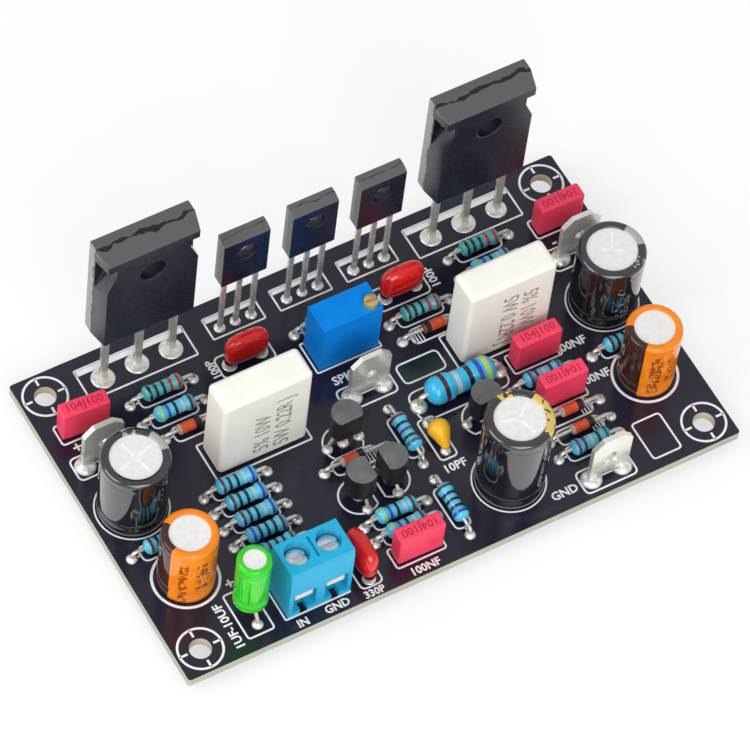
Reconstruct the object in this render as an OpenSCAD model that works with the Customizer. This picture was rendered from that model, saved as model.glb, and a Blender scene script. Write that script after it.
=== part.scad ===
// Audio amplifier board: a black circuit board with its through-hole parts, one module per sub-part.
// Millimetres. X runs along the power transistors' edge, Y to that edge, Z up from the lead tails' tips.

/* [Board] */
// Length of the board
board_l = 88.9; // [88:0.1:110]
// Width of the board
board_w = 53.34; // [53:0.02:60]
// Thickness of the board
board_t = 1.6; // [1:0.1:2.4]
// Mounting hole inset from both edges
mount_inset = 3.81; // [3.5:0.01:4.2]
// Mounting hole diameter
mount_hole_d = 3.2; // [2.5:0.1:3.6]
// Length of the heavy leads below the board
tail_out = 2; // [1.5:0.1:3]

/* [Leads and solder] */
// Wire diameter of the small leads
wire_d = 0.6; // [0.4:0.05:0.7]
// Pad diameter of the small leads
pad_d = 1.75; // [1.5:0.05:2]
// Height of the solder on a small pad
solder_h = 0.45; // [0.3:0.05:0.8]
// Pad diameter of the heavy leads
power_pad_d = 3.3; // [2.8:0.1:3.6]
// Height of the solder on a heavy pad
power_solder_h = 0.75; // [0.5:0.05:1.2]

/* [Power transistors] */
// Width of the moulded body
power_w = 15.4; // [15:0.1:17]
// Narrowing of each side of the moulded body towards its front
power_draft = 0.6; // [0.2:0.1:0.9]
// Thickness of the moulded body
power_t = 4.8; // [4.6:0.1:5.4]
// Height of the moulded body
power_h = 20.6; // [19:0.1:22]
// Height of the body above the board
power_stand = 12.7; // [8:0.1:16]
// Distance between neighbouring leads
power_pitch = 5.45; // [5.2:0.05:5.6]
// Width of a lead
power_lead_w = 1.2; // [0.9:0.1:1.4]
// Thickness of a lead
power_lead_t = 0.6; // [0.4:0.05:0.8]
// Diameter of the screw hole
power_hole_d = 3.8; // [3:0.1:4]

/* [Driver transistors] */
// Width of the moulded body
driver_w = 7.3; // [7:0.1:8.4]
// Thickness of the moulded body
driver_t = 2.3; // [2:0.1:3.2]
// Height of the moulded body
driver_h = 10.5; // [9.5:0.1:12]
// Height of the body above the board
driver_stand = 12.7; // [8:0.1:16]
// Distance between neighbouring leads
driver_pitch = 2.54; // [2.3:0.02:2.6]
// Width of a lead
driver_lead_w = 0.8; // [0.6:0.05:0.9]
// Thickness of a lead
driver_lead_t = 0.5; // [0.4:0.05:0.6]
// Diameter of the screw hole
driver_hole_d = 3.1; // [2.8:0.1:3.4]

/* [Signal transistors] */
// Diameter of the round back
signal_d = 4.6; // [4.2:0.1:4.8]
// Distance from the middle to the flat face
signal_flat = 1.5; // [1.2:0.1:1.8]
// Height of the body
signal_h = 4.6; // [4:0.1:5.2]
// Height of the lowest body above the board
signal_stand = 1.9; // [1.6:0.1:3]
// Distance between neighbouring pads
signal_pitch = 2.54; // [2.3:0.02:2.6]

/* [Trimmer] */
// Length of the housing
trimmer_l = 9.53; // [9.2:0.01:10]
// Width of the housing
trimmer_w = 4.83; // [4.7:0.01:5.2]
// Height of the housing
trimmer_h = 10.03; // [9.8:0.01:11]
// Wall of the housing
trimmer_wall = 0.6; // [0.5:0.05:0.65]
// Diameter of the adjusting screw's head
adjuster_d = 2.1; // [1.9:0.05:2.15]
// Height of the adjusting screw above the housing
adjuster_proud = 1; // [0.6:0.1:1.6]
// Radius of the worm wheel
wheel_r = 2.6; // [2.2:0.05:2.7]
// Thickness of the worm wheel
wheel_t = 1.1; // [0.8:0.05:1.15]

/* [Terminal block] */
// Distance between the two poles
pole_pitch = 5; // [4.9:0.01:5.4]
// Depth of the housing
terminal_depth = 7; // [6.9:0.1:7.6]
// Height of the housing
terminal_h = 11; // [10.8:0.1:13]
// Diameter of the clamp screw's head
clamp_head_d = 3.3; // [3:0.1:3.4]
// Diameter of the clamp screw's shank
clamp_screw_d = 2.4; // [2:0.1:2.5]
// Travel of the wire clamp
clamp_travel = 1.3; // [0.8:0.1:1.4]
// Width of the wire entry
entry_w = 3.6; // [3.2:0.1:3.8]

/* [Push-on tabs] */
// Width of a tab
tab_w = 6.3; // [6:0.1:6.8]
// Thickness of a tab
tab_t = 0.8; // [0.6:0.1:1]
// Height of a tab above the board
tab_h = 9.6; // [8:0.1:12]
// Distance between the two legs
tab_leg_pitch = 5; // [4.6:0.1:5.1]
// Diameter of the latch hole
tab_hole_d = 1.7; // [1.2:0.1:2.2]

/* [Axial parts] */
// Length of a small resistor
resistor_l = 6.3; // [5.6:0.1:6.8]
// Diameter of a small resistor
resistor_d = 2.4; // [2:0.1:2.6]
// Lead spacing of the small resistors and the diodes
axial_pitch = 10.1; // [9.6:0.05:10.2]
// Length of a diode
diode_l = 3.9; // [3.5:0.1:4.4]
// Diameter of a diode
diode_d = 1.8; // [1.5:0.1:2]
// Length of the load resistor
load_l = 11; // [10:0.1:11.4]
// Diameter of the load resistor
load_d = 4.2; // [3.8:0.1:4.8]
// Lead spacing of the load resistor
load_pitch = 13.1; // [12.9:0.1:13.4]

/* [Cement resistors] */
// Length of the block
cement_l = 14.1; // [13:0.1:14.6]
// Width of the block at its foot
cement_w = 5.3; // [4.8:0.1:5.5]
// Height of the block
cement_h = 16.7; // [14:0.1:18]
// Lead spacing
cement_pitch = 10; // [8:0.1:11]

/* [Film capacitors] */
// Length of the box
film_l = 7.2; // [6.8:0.1:7.5]
// Width of the box
film_w = 2.5; // [2.3:0.1:2.7]
// Height of the box
film_h = 6; // [5.5:0.1:7.5]
// Lead spacing of the film and dipped capacitors
film_pitch = 5; // [4.8:0.1:5.2]

/* [Dipped capacitors] */
// Length of the dipped body
dipped_l = 6.9; // [6.6:0.1:8]
// Thickness of the dipped body
dipped_w = 3.2; // [3:0.1:3.6]
// Height of the dipped body above the board
dipped_h = 6.8; // [6:0.1:9]
// Diameter of the drop capacitor
drop_d = 3.3; // [2.9:0.1:3.5]

/* [Electrolytic capacitors] */
// Diameter of the black capacitors
black_d = 10; // [9:0.1:10.4]
// Height of the two short black capacitors
black_h = 13.4; // [11:0.1:16]
// Height of the tall black capacitor
tall_h = 16.4; // [14:0.1:20]
// Diameter of the orange capacitors
orange_d = 8.2; // [7.4:0.1:8.4]
// Height of the orange capacitors
orange_h = 12.3; // [10:0.1:14]
// Diameter of the green capacitor
green_d = 5; // [4.6:0.1:5.2]
// Height of the green capacitor's can
green_h = 10.8; // [9:0.1:12]
// Height of the green capacitor above the board
green_stand = 3.3; // [2.6:0.1:4]
// Thickness of the shrunk sleeve
sleeve_t = 0.25; // [0.15:0.05:0.35]

/* [Hidden] */
$fn = 48;

// Clearances: between pieces that sit in each other, and between pieces that turn or slide
fit = 0.02;
running = 0.05;
eps = 0.01;

// Height of the board's upper face, and how far each kind of lead reaches below it
deck = tail_out + board_t;
tail_trim = 0.6;
small_tail = board_t + tail_out - tail_trim;
power_tail = board_t + tail_out;

// Drilled holes are a little wider than what passes through them
drill_gap = 0.15;
wire_drill = wire_d + 2 * drill_gap;
signal_lead = 0.45;
tab_leg_w = 1.2;
bar_leg_w = 0.9;
bar_t = 0.9;
load_wire_d = 0.8;
load_pad_d = 2.3;
pin_pitch = 2.54;
pin_step = 1.27;
bar_leg_in = 0.8;
bar_leg_y = terminal_depth / 2 - bar_leg_in;

// Layout of the board: middles of the parts, measured from the middle of the board, with a turn where one is
// needed; a fourth value is a diode's shift along its leads or a signal transistor's extra height
row_in = 4.77;
row_y = board_w / 2 - row_in;
front_y = -board_w / 2;
power_xs = [-26.5, 27];
driver_xs = [-10.65, 0.25, 11.2];
blue_places = concat(
  [for (i = [0 : 4]) [-23.8, -2.1 - 2.95 * i, 0]],
  [[-25.8, 12.2, 0], [-37.3, -6.1, 0], [26.6, 13.6, 0], [0.7, 16, 0], [1.5, -5.9, 90], [1.6, -18.9, 90]],
  [[-6.1, -16.4, 0], [-6, -19.2, 0], [23.7, -6.3, 0], [37, -6.3, 0], [24, -19, 0]]
);
teal_places = [[-25.7, 16, 0], [26.7, 17.2, 0], [13.6, 11.3, 0]];
diode_places = [
  [-24, 8.9, 0, -1.2], [14, 8.1, 0, 0.1], [-6.7, -6.1, 0, -0.6], [24.2, -12.9, 0, 0.3], [24.2, -16.1, 0, 0.2]
];
load_place = [12.2, -2.4];
cement_left = [-18, 3];
cement_right = [21.6, 3.4];
film_places = [[-38.2, 16.2, -4.5], [39.2, 16.3, 0], [24.6, -2.2, 0], [24.5, -9.7, 0], [-6.2, -22.5, -1]];
dipped_left = [-12.4, 15.8, 0];
dipped_right = [12.9, 15.7, 0];
dipped_front = [-14.5, -21.2, 90];
drop_place = [5.4, -8];
black_left = [-38.3, 1.4];
black_right = [38.2, 1.4];
black_front = [11, -18.6];
orange_left = [-37.1, -12.1];
orange_right = [37.3, -12.1];
green_place = [-31.8, -20.6];
trimmer_place = [0.8, 11.6];
terminal_x = -22.7;
terminal_in = 2.5;
terminal_y = front_y + terminal_in + terminal_depth / 2;
signal_places = [[-6.9, -2.8, 0, 1.7], [-9.2, -11.4, 90, 0.7], [-4, -10.9, -90, 0], [12.8, -8.1, 0, 0.4]];
tab_left = [-38.5, 10.1];
tab_right = [39, 10.3];
tab_output = [0.4, 3.2];
ground_in = 2.8;
tab_ground = [23.9, front_y + ground_in];

// Axial parts lie a little above the board, with their leads bent down
axial_lift = 0.3;
bend_r = 0.7;

// Electrolytic capacitors: lead spacings, the sleeve's lip over the rim and the crimp groove
black_pitch = 5;
orange_pitch = 3.5;
green_pitch = 2;
black_lip = 1.3;
orange_lip = 1.15;
green_lip = 0.8;
groove_z = 2;
groove_half = 0.5;
groove_depth = 0.3;

// Pads of each kind, worked out from the layout
function turned(v, a) = [v[0] * cos(a) - v[1] * sin(a), v[0] * sin(a) + v[1] * cos(a)];
function pair_of_pads(p, pitch) = [
  for (s = [-1, 1]) [p[0], p[1]] + turned([s * pitch / 2, 0], p[2])
];
function flat_pair(p, pitch) = pair_of_pads([p[0], p[1], 0], pitch);
function flatten(lists) = [for (a = lists) for (b = a) b];
axial_places = concat(blue_places, teal_places, diode_places);
dipped_places = [dipped_left, dipped_right, dipped_front];
drop_pads = pair_of_pads([drop_place[0], drop_place[1], 90], film_pitch);
green_pads = pair_of_pads([green_place[0], green_place[1], 90], film_pitch);
open_wire_pads = concat(
  flatten([for (p = axial_places) pair_of_pads(p, axial_pitch)]),
  drop_pads, green_pads
);
trimmer_pin_places = [for (i = [-1 : 1]) trimmer_place + [pin_pitch * i, i == 0 ? 0 : -pin_step]];
covered_wire_pads = concat(
  flatten([for (p = film_places) pair_of_pads(p, film_pitch)]),
  flatten([for (p = dipped_places) pair_of_pads(p, film_pitch)]),
  flatten([for (p = [cement_left, cement_right]) flat_pair(p, cement_pitch)]),
  flatten([for (p = [black_left, black_right, black_front]) flat_pair(p, black_pitch)]),
  flatten([for (p = [orange_left, orange_right]) flat_pair(p, orange_pitch)]),
  trimmer_pin_places
);
signal_pads = flatten([
  for (p = signal_places) [for (i = [-1 : 1]) [p[0], p[1]] + turned([i * signal_pitch, 0], p[2])]
]);
driver_pads = flatten([for (x = driver_xs) [for (i = [-1 : 1]) [x + i * driver_pitch, row_y]]]);
power_pads = flatten([for (x = power_xs) [for (i = [-1 : 1]) [x + i * power_pitch, row_y]]]);
load_pads = flat_pair(load_place, load_pitch);
tab_places = [tab_left, tab_right, tab_output, tab_ground];
tab_pads = flatten([for (p = tab_places) flat_pair(p, tab_leg_pitch)]);
pole_xs = [for (s = [-1, 1]) terminal_x + s * pole_pitch / 2];
bar_pads = [for (x = pole_xs) [x, terminal_y + bar_leg_y]];

// Drill that clears a flat lead of a width and thickness
function flat_drill(w, t) = sqrt(w * w + t * t) + 2 * drill_gap;

module drill(places, d) {
  for (p = places)
    translate([p[0], p[1], tail_out - eps])
      cylinder(d = d, h = board_t + 2 * eps);
}

module circuit_board() {
  color([0.09, 0.09, 0.11])
    difference() {
      translate([-board_l / 2, -board_w / 2, tail_out])
        cube([board_l, board_w, board_t]);
      for (sx = [-1, 1], sy = [-1, 1])
        translate([sx * (board_l / 2 - mount_inset), sy * (board_w / 2 - mount_inset), tail_out - eps])
          cylinder(d = mount_hole_d, h = board_t + 2 * eps);
      drill(concat(open_wire_pads, covered_wire_pads), wire_drill);
      drill(signal_pads, flat_drill(signal_lead, signal_lead));
      drill(driver_pads, flat_drill(driver_lead_w, driver_lead_t));
      drill(power_pads, flat_drill(power_lead_w, power_lead_t));
      drill(tab_pads, flat_drill(tab_leg_w, tab_t));
      drill(load_pads, load_wire_d + 2 * drill_gap);
      drill(bar_pads, flat_drill(bar_leg_w, bar_t));
    }
}

// Solder of one joint, turned about the lead: a fillet above, the filled hole, a fillet below
module solder(pad, hole, lead_r, rise, above = true) {
  hole_r = hole / 2 - fit;
  foot = 0.06;
  collar = 0.08;
  shoulder_r = lead_r + 0.3 * (pad / 2 - lead_r);
  half_rise = rise / 2;
  top = above
    ? [
        [lead_r, rise], [lead_r + collar, rise], [shoulder_r, half_rise],
        [pad / 2, foot], [pad / 2, 0], [hole_r, 0]
      ]
    : [[lead_r, 0], [hole_r, 0]];
  bottom = [
    [hole_r, -board_t], [pad / 2, -board_t], [pad / 2, -board_t - foot],
    [shoulder_r, -board_t - half_rise], [lead_r + collar, -board_t - rise], [lead_r, -board_t - rise]
  ];
  rotate_extrude()
    polygon(concat(top, bottom));
}

module wire_solder(places, pad, wire, rise, above = true) {
  for (p = places)
    translate([p[0], p[1], deck])
      solder(pad, wire + 2 * drill_gap, wire / 2 + fit, rise, above);
}

// Solder around flat leads, each turned by an angle
module flat_solder(places, pad, w, t, rise, above = true) {
  for (p = places)
    translate([p[0], p[1], deck])
      difference() {
        solder(pad, flat_drill(w, t), 0, rise, above);
        translate([-w / 2 - fit, -t / 2 - fit, -board_t - 2 * rise])
          cube([w + 2 * fit, t + 2 * fit, board_t + 4 * rise]);
      }
}

module solder_joints() {
  color([0.82, 0.82, 0.78]) {
    wire_solder(open_wire_pads, pad_d, wire_d, solder_h);
    wire_solder(covered_wire_pads, pad_d, wire_d, solder_h, above = false);
    flat_solder(signal_pads, pad_d, signal_lead, signal_lead, solder_h);
    flat_solder(driver_pads, pad_d, driver_lead_w, driver_lead_t, solder_h);
  }
}

module power_solder_joints() {
  color([0.84, 0.84, 0.8]) {
    flat_solder(power_pads, power_pad_d, power_lead_w, power_lead_t, power_solder_h);
    flat_solder(tab_pads, power_pad_d, tab_leg_w, tab_t, power_solder_h);
    wire_solder(load_pads, load_pad_d, load_wire_d, solder_h);
    flat_solder(bar_pads, load_pad_d, bar_leg_w, bar_t, solder_h, above = false);
  }
}

// Power transistor: a moulded block with clip recesses in its sides and a metal plate in its back
power_lead_back = 2.3;
power_back_y = row_y + power_lead_back;
power_hole_drop = 6.1;
power_plate_t = 2;
power_plate_edge = 1.4;
power_plate_foot = 1.6;
power_shelf = 1.7;
power_bevel = 0.9;
recess_in = 1.9;
recess_top = 2.6;
recess_low = 8.7;
recess_step = 1.6;
recess_out = 1;
plate_neck = 2;
neck_t = power_lead_back + power_lead_t / 2 - power_plate_t;

// Side view of a moulded transistor, back face at y = 0: a level strip, then a bevel down to the front
module moulded_side(t, h, strip, bevel) {
  polygon([[0, 0], [0, h], [-strip, h], [-t, h - bevel], [-t, 0]]);
}

// Carries a side view, drawn as [y, z], along X over a width
module along_x(w) {
  translate([-w / 2, 0, 0])
    rotate([90, 0, 90])
      linear_extrude(w)
        children();
}

// Carries a front view, drawn as [x, z], back along Y from a depth to the front
module along_y(depth) {
  rotate([90, 0, 0])
    linear_extrude(depth)
      children();
}

module power_body(x) {
  h = power_h;
  half = power_w / 2;
  plate_w = power_w - 2 * power_plate_edge;
  translate([x, power_back_y, deck + power_stand])
    difference() {
      along_x(power_w)
        moulded_side(power_t, h, power_shelf, power_bevel);
      translate([0, eps, h - power_hole_drop])
        rotate([90, 0, 0])
          cylinder(d = power_hole_d, h = power_t + 2 * eps);
      for (s = [-1, 1])
        translate([0, -power_plate_t, 0])
          along_y(power_t)
            polygon([
              [s * (half + recess_out), h - recess_top], [s * (half - recess_in), h - recess_top],
              [s * (half - recess_in), h - recess_top - recess_step], [s * half, h - recess_low],
              [s * (half + recess_out), h - recess_low]
            ]);
      for (s = [-1, 1])
        translate([0, 0, -eps])
          linear_extrude(h + 2 * eps)
            polygon([
              [s * half, -power_plate_t], [s * (half - power_draft), -power_t - eps],
              [s * (half + recess_out), -power_t - eps], [s * (half + recess_out), -power_plate_t]
            ]);
      translate([-plate_w / 2, -power_plate_t, power_plate_foot])
        cube([plate_w, power_plate_t + eps, h - power_plate_foot - power_plate_edge]);
      translate([-power_lead_w / 2, -power_lead_back - power_lead_t / 2, -eps])
        cube([power_lead_w, neck_t + eps, power_plate_foot + plate_neck]);
      translate([-power_lead_w / 2, -power_plate_t - eps, -eps])
        cube([power_lead_w, power_lead_t, power_plate_foot + 2 * eps]);
    }
}

// Leads with a wide shoulder under the body; the middle one is one piece with the back plate
module power_leads(x) {
  shoulder_w = 2.2;
  shoulder_h = 1.5;
  plate_w = power_w - 2 * power_plate_edge;
  plate_h = power_h - power_plate_foot - power_plate_edge;
  body_foot = power_stand;
  translate([x, row_y, deck]) {
    for (i = [-1 : 1])
      translate([i * power_pitch - power_lead_w / 2, -power_lead_t / 2, -power_tail])
        cube([power_lead_w, power_lead_t, power_tail + body_foot]);
    for (i = [-1 : 1])
      translate([i * power_pitch - shoulder_w / 2, -power_lead_t / 2, body_foot - shoulder_h])
        cube([shoulder_w, power_lead_t, shoulder_h]);
    difference() {
      union() {
        translate([-plate_w / 2, power_lead_back - power_plate_t, body_foot + power_plate_foot])
          cube([plate_w, power_plate_t, plate_h]);
        translate([-power_lead_w / 2, -power_lead_t / 2, body_foot - eps])
          cube([power_lead_w, neck_t, power_plate_foot + plate_neck]);
      }
      translate([0, power_lead_back + eps, body_foot + power_h - power_hole_drop])
        rotate([90, 0, 0])
          cylinder(d = power_hole_d, h = power_plate_t + 2 * eps);
    }
  }
}

module power_transistor_left_body() { color([0.16, 0.16, 0.18]) power_body(power_xs[0]); }
module power_transistor_right_body() { color([0.16, 0.16, 0.18]) power_body(power_xs[1]); }
module power_transistor_left_leads() { color([0.72, 0.72, 0.7]) power_leads(power_xs[0]); }
module power_transistor_right_leads() { color([0.72, 0.72, 0.7]) power_leads(power_xs[1]); }

// Driver transistor: a thin moulded block with a plate in its back and a screw hole
driver_lead_back = 1.1;
driver_back_y = row_y + driver_lead_back;
driver_hole_drop = 3.8;
driver_plate_t = 0.7;
driver_plate_edge = 0.8;
driver_plate_foot = 1.2;
driver_strip = 1.1;
driver_bevel = 0.5;

module driver_body(x) {
  plate_w = driver_w - 2 * driver_plate_edge;
  translate([x, driver_back_y, deck + driver_stand])
    difference() {
      along_x(driver_w)
        moulded_side(driver_t, driver_h, driver_strip, driver_bevel);
      translate([0, eps, driver_h - driver_hole_drop])
        rotate([90, 0, 0])
          cylinder(d = driver_hole_d, h = driver_t + 2 * eps);
      translate([-plate_w / 2, -driver_plate_t, driver_plate_foot])
        cube([plate_w, driver_plate_t + eps, driver_h - driver_plate_foot - driver_plate_edge]);
    }
}

module driver_transistor_left_body() { color([0.13, 0.13, 0.15]) driver_body(driver_xs[0]); }
module driver_transistor_middle_body() { color([0.13, 0.13, 0.15]) driver_body(driver_xs[1]); }
module driver_transistor_right_body() { color([0.13, 0.13, 0.15]) driver_body(driver_xs[2]); }

module driver_transistor_leads() {
  plate_w = driver_w - 2 * driver_plate_edge;
  plate_h = driver_h - driver_plate_foot - driver_plate_edge;
  color([0.72, 0.71, 0.68])
    for (x = driver_xs)
      translate([x, row_y, deck]) {
        for (i = [-1 : 1])
          translate([i * driver_pitch - driver_lead_w / 2, -driver_lead_t / 2, -small_tail])
            cube([driver_lead_w, driver_lead_t, small_tail + driver_stand]);
        difference() {
          translate([-plate_w / 2, driver_lead_back - driver_plate_t, driver_stand + driver_plate_foot])
            cube([plate_w, driver_plate_t, plate_h]);
          translate([0, driver_lead_back + eps, driver_stand + driver_h - driver_hole_drop])
            rotate([90, 0, 0])
              cylinder(d = driver_hole_d, h = driver_plate_t + 2 * eps);
        }
      }
}

// Signal transistor: a round-backed body with a flat face, on three splayed leads
module signal_body(p) {
  color([0.2, 0.2, 0.21])
    translate([p[0], p[1], deck + signal_stand + p[3]])
      rotate([0, 0, p[2]])
        difference() {
          cylinder(d = signal_d, h = signal_h);
          translate([-signal_d, -signal_flat - signal_d, -eps])
            cube([2 * signal_d, signal_d, signal_h + 2 * eps]);
        }
}

module signal_transistor_1() { signal_body(signal_places[0]); }
module signal_transistor_2() { signal_body(signal_places[1]); }
module signal_transistor_3() { signal_body(signal_places[2]); }
module signal_transistor_4() { signal_body(signal_places[3]); }

module signal_transistor_leads() {
  half = signal_lead / 2;
  inner = 1.27;
  knee = 0.9;
  color([0.78, 0.78, 0.75])
    for (p = signal_places, i = [-1 : 1])
      translate([p[0], p[1], deck])
        rotate([0, 0, p[2]])
          translate([0, half, 0])
            along_y(signal_lead)
              polygon([
                [i * inner - half, signal_stand + p[3]], [i * inner + half, signal_stand + p[3]],
                [i * signal_pitch + half, knee], [i * signal_pitch + half, -small_tail],
                [i * signal_pitch - half, -small_tail], [i * signal_pitch - half, knee]
              ]);
}

// Multi-turn trimmer: an adjusting worm in the corner turns a wheel that carries the wiper over the element
adjuster_in = 1.32;
worm_r = 0.85;
worm_gap = 0.1;
wheel_bore_r = 0.55;
wheel_teeth = 30;
tooth_depth = 0.25;
roof_t = 0.8;
trimmer_base_h = 1.5;
element_t = 0.7;
wiper_w = 0.8;
wiper_in = 0.3;
wiper_gap = 0.3;
adjuster_x = trimmer_l / 2 - adjuster_in;
adjuster_y = -trimmer_w / 2 + adjuster_in;
wheel_x = adjuster_x - worm_r - worm_gap - wheel_r;
wheel_z = (trimmer_base_h + trimmer_h - roof_t) / 2;
cavity_l = trimmer_l - 2 * trimmer_wall;
cavity_w = trimmer_w - 2 * trimmer_wall;
cavity_h = trimmer_h - roof_t;
wheel_front = -cavity_w / 2 + running;
element_front = wheel_front + wheel_t + wiper_gap;

module at_trimmer() {
  translate([trimmer_place[0], trimmer_place[1], deck])
    children();
}

module trimmer_housing() {
  channel_r = worm_r + running;
  color([0.05, 0.4, 0.82])
    at_trimmer() {
      difference() {
        translate([-trimmer_l / 2, -trimmer_w / 2, 0])
          cube([trimmer_l, trimmer_w, trimmer_h]);
        translate([-cavity_l / 2, -cavity_w / 2, -eps])
          cube([cavity_l, cavity_w, cavity_h + eps]);
        translate([adjuster_x, adjuster_y, trimmer_base_h])
          cylinder(r = channel_r, h = trimmer_h);
        translate([adjuster_x, adjuster_y, cavity_h - running])
          cylinder(d = adjuster_d + 2 * running, h = trimmer_h);
      }
      translate([wheel_x, -cavity_w / 2, wheel_z])
        rotate([-90, 0, 0])
          cylinder(r = wheel_bore_r - running, h = wheel_t + 2 * running);
    }
}

module trimmer_base() {
  color([0.1, 0.25, 0.5])
    at_trimmer()
      difference() {
        translate([-cavity_l / 2 + fit, -cavity_w / 2 + fit, 0])
          cube([cavity_l - 2 * fit, cavity_w - 2 * fit, trimmer_base_h]);
        for (p = trimmer_pin_places)
          translate([p[0] - trimmer_place[0], p[1] - trimmer_place[1], -eps])
            cylinder(d = wire_d + 2 * fit, h = trimmer_base_h + 2 * eps);
      }
}

module trimmer_element() {
  right = adjuster_x - worm_r - worm_gap;
  color([0.9, 0.88, 0.82])
    at_trimmer()
      translate([-cavity_l / 2 + fit, element_front, trimmer_base_h])
        cube([right + cavity_l / 2 - fit, element_t, cavity_h - trimmer_base_h - fit]);
}

module trimmer_pins() {
  color([0.75, 0.75, 0.72])
    for (p = trimmer_pin_places)
      translate([p[0], p[1], deck - small_tail])
        cylinder(d = wire_d, h = small_tail + trimmer_base_h);
}

module trimmer_screw() {
  slot_w = 0.5;
  slot_d = 0.6;
  head_h = roof_t + adjuster_proud;
  color([0.85, 0.68, 0.35])
    at_trimmer()
      translate([adjuster_x, adjuster_y, 0])
        difference() {
          union() {
            translate([0, 0, trimmer_base_h + running])
              cylinder(r = worm_r, h = trimmer_h - roof_t - trimmer_base_h);
            translate([0, 0, trimmer_h - roof_t])
              cylinder(d = adjuster_d, h = head_h);
          }
          translate([-adjuster_d, -slot_w / 2, trimmer_h + adjuster_proud - slot_d])
            cube([2 * adjuster_d, slot_w, slot_d + eps]);
        }
}

// Wheel with square teeth all round and a wiper on its back
module trimmer_wheel() {
  step = 360 / wheel_teeth;
  root_r = wheel_r - tooth_depth;
  // One tooth as [radius, share of the step]
  tooth = [[root_r, 0], [wheel_r, 0.2], [wheel_r, 0.5], [root_r, 0.7]];
  color([0.92, 0.92, 0.88])
    at_trimmer()
      translate([wheel_x, wheel_front + wheel_t, wheel_z]) {
        along_y(wheel_t)
          difference() {
            polygon([
              for (i = [0 : wheel_teeth - 1], c = tooth)
                c[0] * [cos((i + c[1]) * step), sin((i + c[1]) * step)]
            ]);
            circle(r = wheel_bore_r);
          }
        translate([wiper_in - wheel_r, -eps, -wiper_w / 2])
          cube([wiper_w, wiper_gap - running + eps, wiper_w]);
      }
}

// Two-pole terminal block: a screw in each well lifts a clamp that presses the wire against a fixed bar
terminal_wall = 0.5;
well_gap = 0.2;
clamp_t = 0.5;
clamp_w = pole_pitch - 2 * terminal_wall;
clamp_inner_w = clamp_w - 2 * clamp_t;
chamber_w = clamp_w + 4 * running;
well_depth = 2.5;
well_floor = terminal_h - well_depth;
shelf_t = 0.5;
shelf_z = well_floor - shelf_t;
clamp_top = shelf_z - running - clamp_travel;
clamp_foot = 1;
bar_clear = 0.85;
bar_top = clamp_top - clamp_t - bar_clear;
bar_nose_in = 0.3;
bar_front = bar_nose_in - terminal_depth / 2;
bar_side_gap = 0.1;
bar_lip = 1.7;
bar_lip_t = 0.6;
bar_w = clamp_inner_w - 2 * bar_side_gap;
well_y = -0.25;
clamp_depth = 3.3;
chamber_front = well_y - clamp_depth / 2 - running;
chamber_back = bar_leg_y + bar_t / 2 + running;
sill_z = 1.1;
entry_over = 0.1;
entry_top = bar_top + entry_over;
slot_entry_w = 1.2;
back_wall_h = 3;
back_lean = 1.3;
front_lean = 0.25;
front_bevel_h = 1.4;
mark_w = 0.4;
mark_l = 3.4;
mark_depth = 0.5;
block_gap = 0.1;
head_h = 0.8;

module at_terminal(x = 0) {
  translate([terminal_x + x, terminal_y, deck])
    children();
}

module terminal_housing() {
  half = terminal_depth / 2;
  block_w = 2 * pole_pitch - block_gap;
  floor_t = 0.6;
  color([0.16, 0.68, 0.9])
    at_terminal()
      difference() {
        along_x(block_w)
          polygon([
            [half, 0], [half, back_wall_h], [half - back_lean, terminal_h], [front_lean - half, terminal_h],
            [-half, terminal_h - front_bevel_h], [-half, 0]
          ]);
        for (s = [-1, 1])
          translate([s * pole_pitch / 2, 0, 0]) {
            translate([0, well_y, well_floor])
              cylinder(d = clamp_head_d + 2 * well_gap, h = terminal_h);
            translate([0, well_y, shelf_z - eps])
              cylinder(d = clamp_screw_d + 2 * well_gap, h = shelf_t + 2 * eps);
            translate([-chamber_w / 2, chamber_front, floor_t])
              cube([chamber_w, well_y + clamp_depth / 2 + running - chamber_front, shelf_z - floor_t]);
            translate([-bar_w / 2 - running, 0, floor_t])
              cube([bar_w + 2 * running, chamber_back, bar_top + running - floor_t]);
            translate([-bar_leg_w / 2 - running, bar_leg_y - bar_t / 2 - running, -eps])
              cube([bar_leg_w + 2 * running, bar_t + 2 * running, floor_t + 2 * eps]);
            translate([-entry_w / 2, -half - eps, sill_z])
              cube([entry_w, half + chamber_front + 2 * eps, entry_top - sill_z]);
            translate([-slot_entry_w / 2, -half - eps, -eps])
              cube([slot_entry_w, half + chamber_front + 2 * eps, sill_z + 2 * eps]);
          }
        translate([-mark_w / 2, well_y - mark_l / 2, terminal_h - mark_depth])
          cube([mark_w, mark_l, mark_depth + eps]);
      }
}

// Fixed bars: a tongue through the clamp, turned down at the wire entry, and a leg down through the board
module terminal_bars() {
  color([0.78, 0.77, 0.74])
    for (s = [-1, 1])
      at_terminal(s * pole_pitch / 2) {
        translate([-bar_w / 2, bar_front, bar_top - bar_t])
          cube([bar_w, bar_leg_y + bar_t / 2 - bar_front, bar_t]);
        translate([-bar_w / 2, bar_front, bar_top - bar_lip])
          cube([bar_w, bar_lip_t, bar_lip - bar_t + eps]);
        translate([-bar_leg_w / 2, bar_leg_y - bar_t / 2, -power_tail])
          cube([bar_leg_w, bar_t, power_tail + bar_top - bar_t]);
      }
}

module clamp_screw(s) {
  slot_w = 0.6;
  slot_d = 0.5;
  color([0.76, 0.76, 0.76])
    at_terminal(s * pole_pitch / 2)
      translate([0, well_y, 0])
        difference() {
          union() {
            translate([0, 0, bar_top + running])
              cylinder(d = clamp_screw_d, h = well_floor - bar_top);
            translate([0, 0, well_floor + running])
              cylinder(d = clamp_head_d, h = head_h);
          }
          translate([-clamp_head_d, -slot_w / 2, well_floor + running + head_h - slot_d])
            cube([2 * clamp_head_d, slot_w, slot_d + eps]);
        }
}

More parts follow.
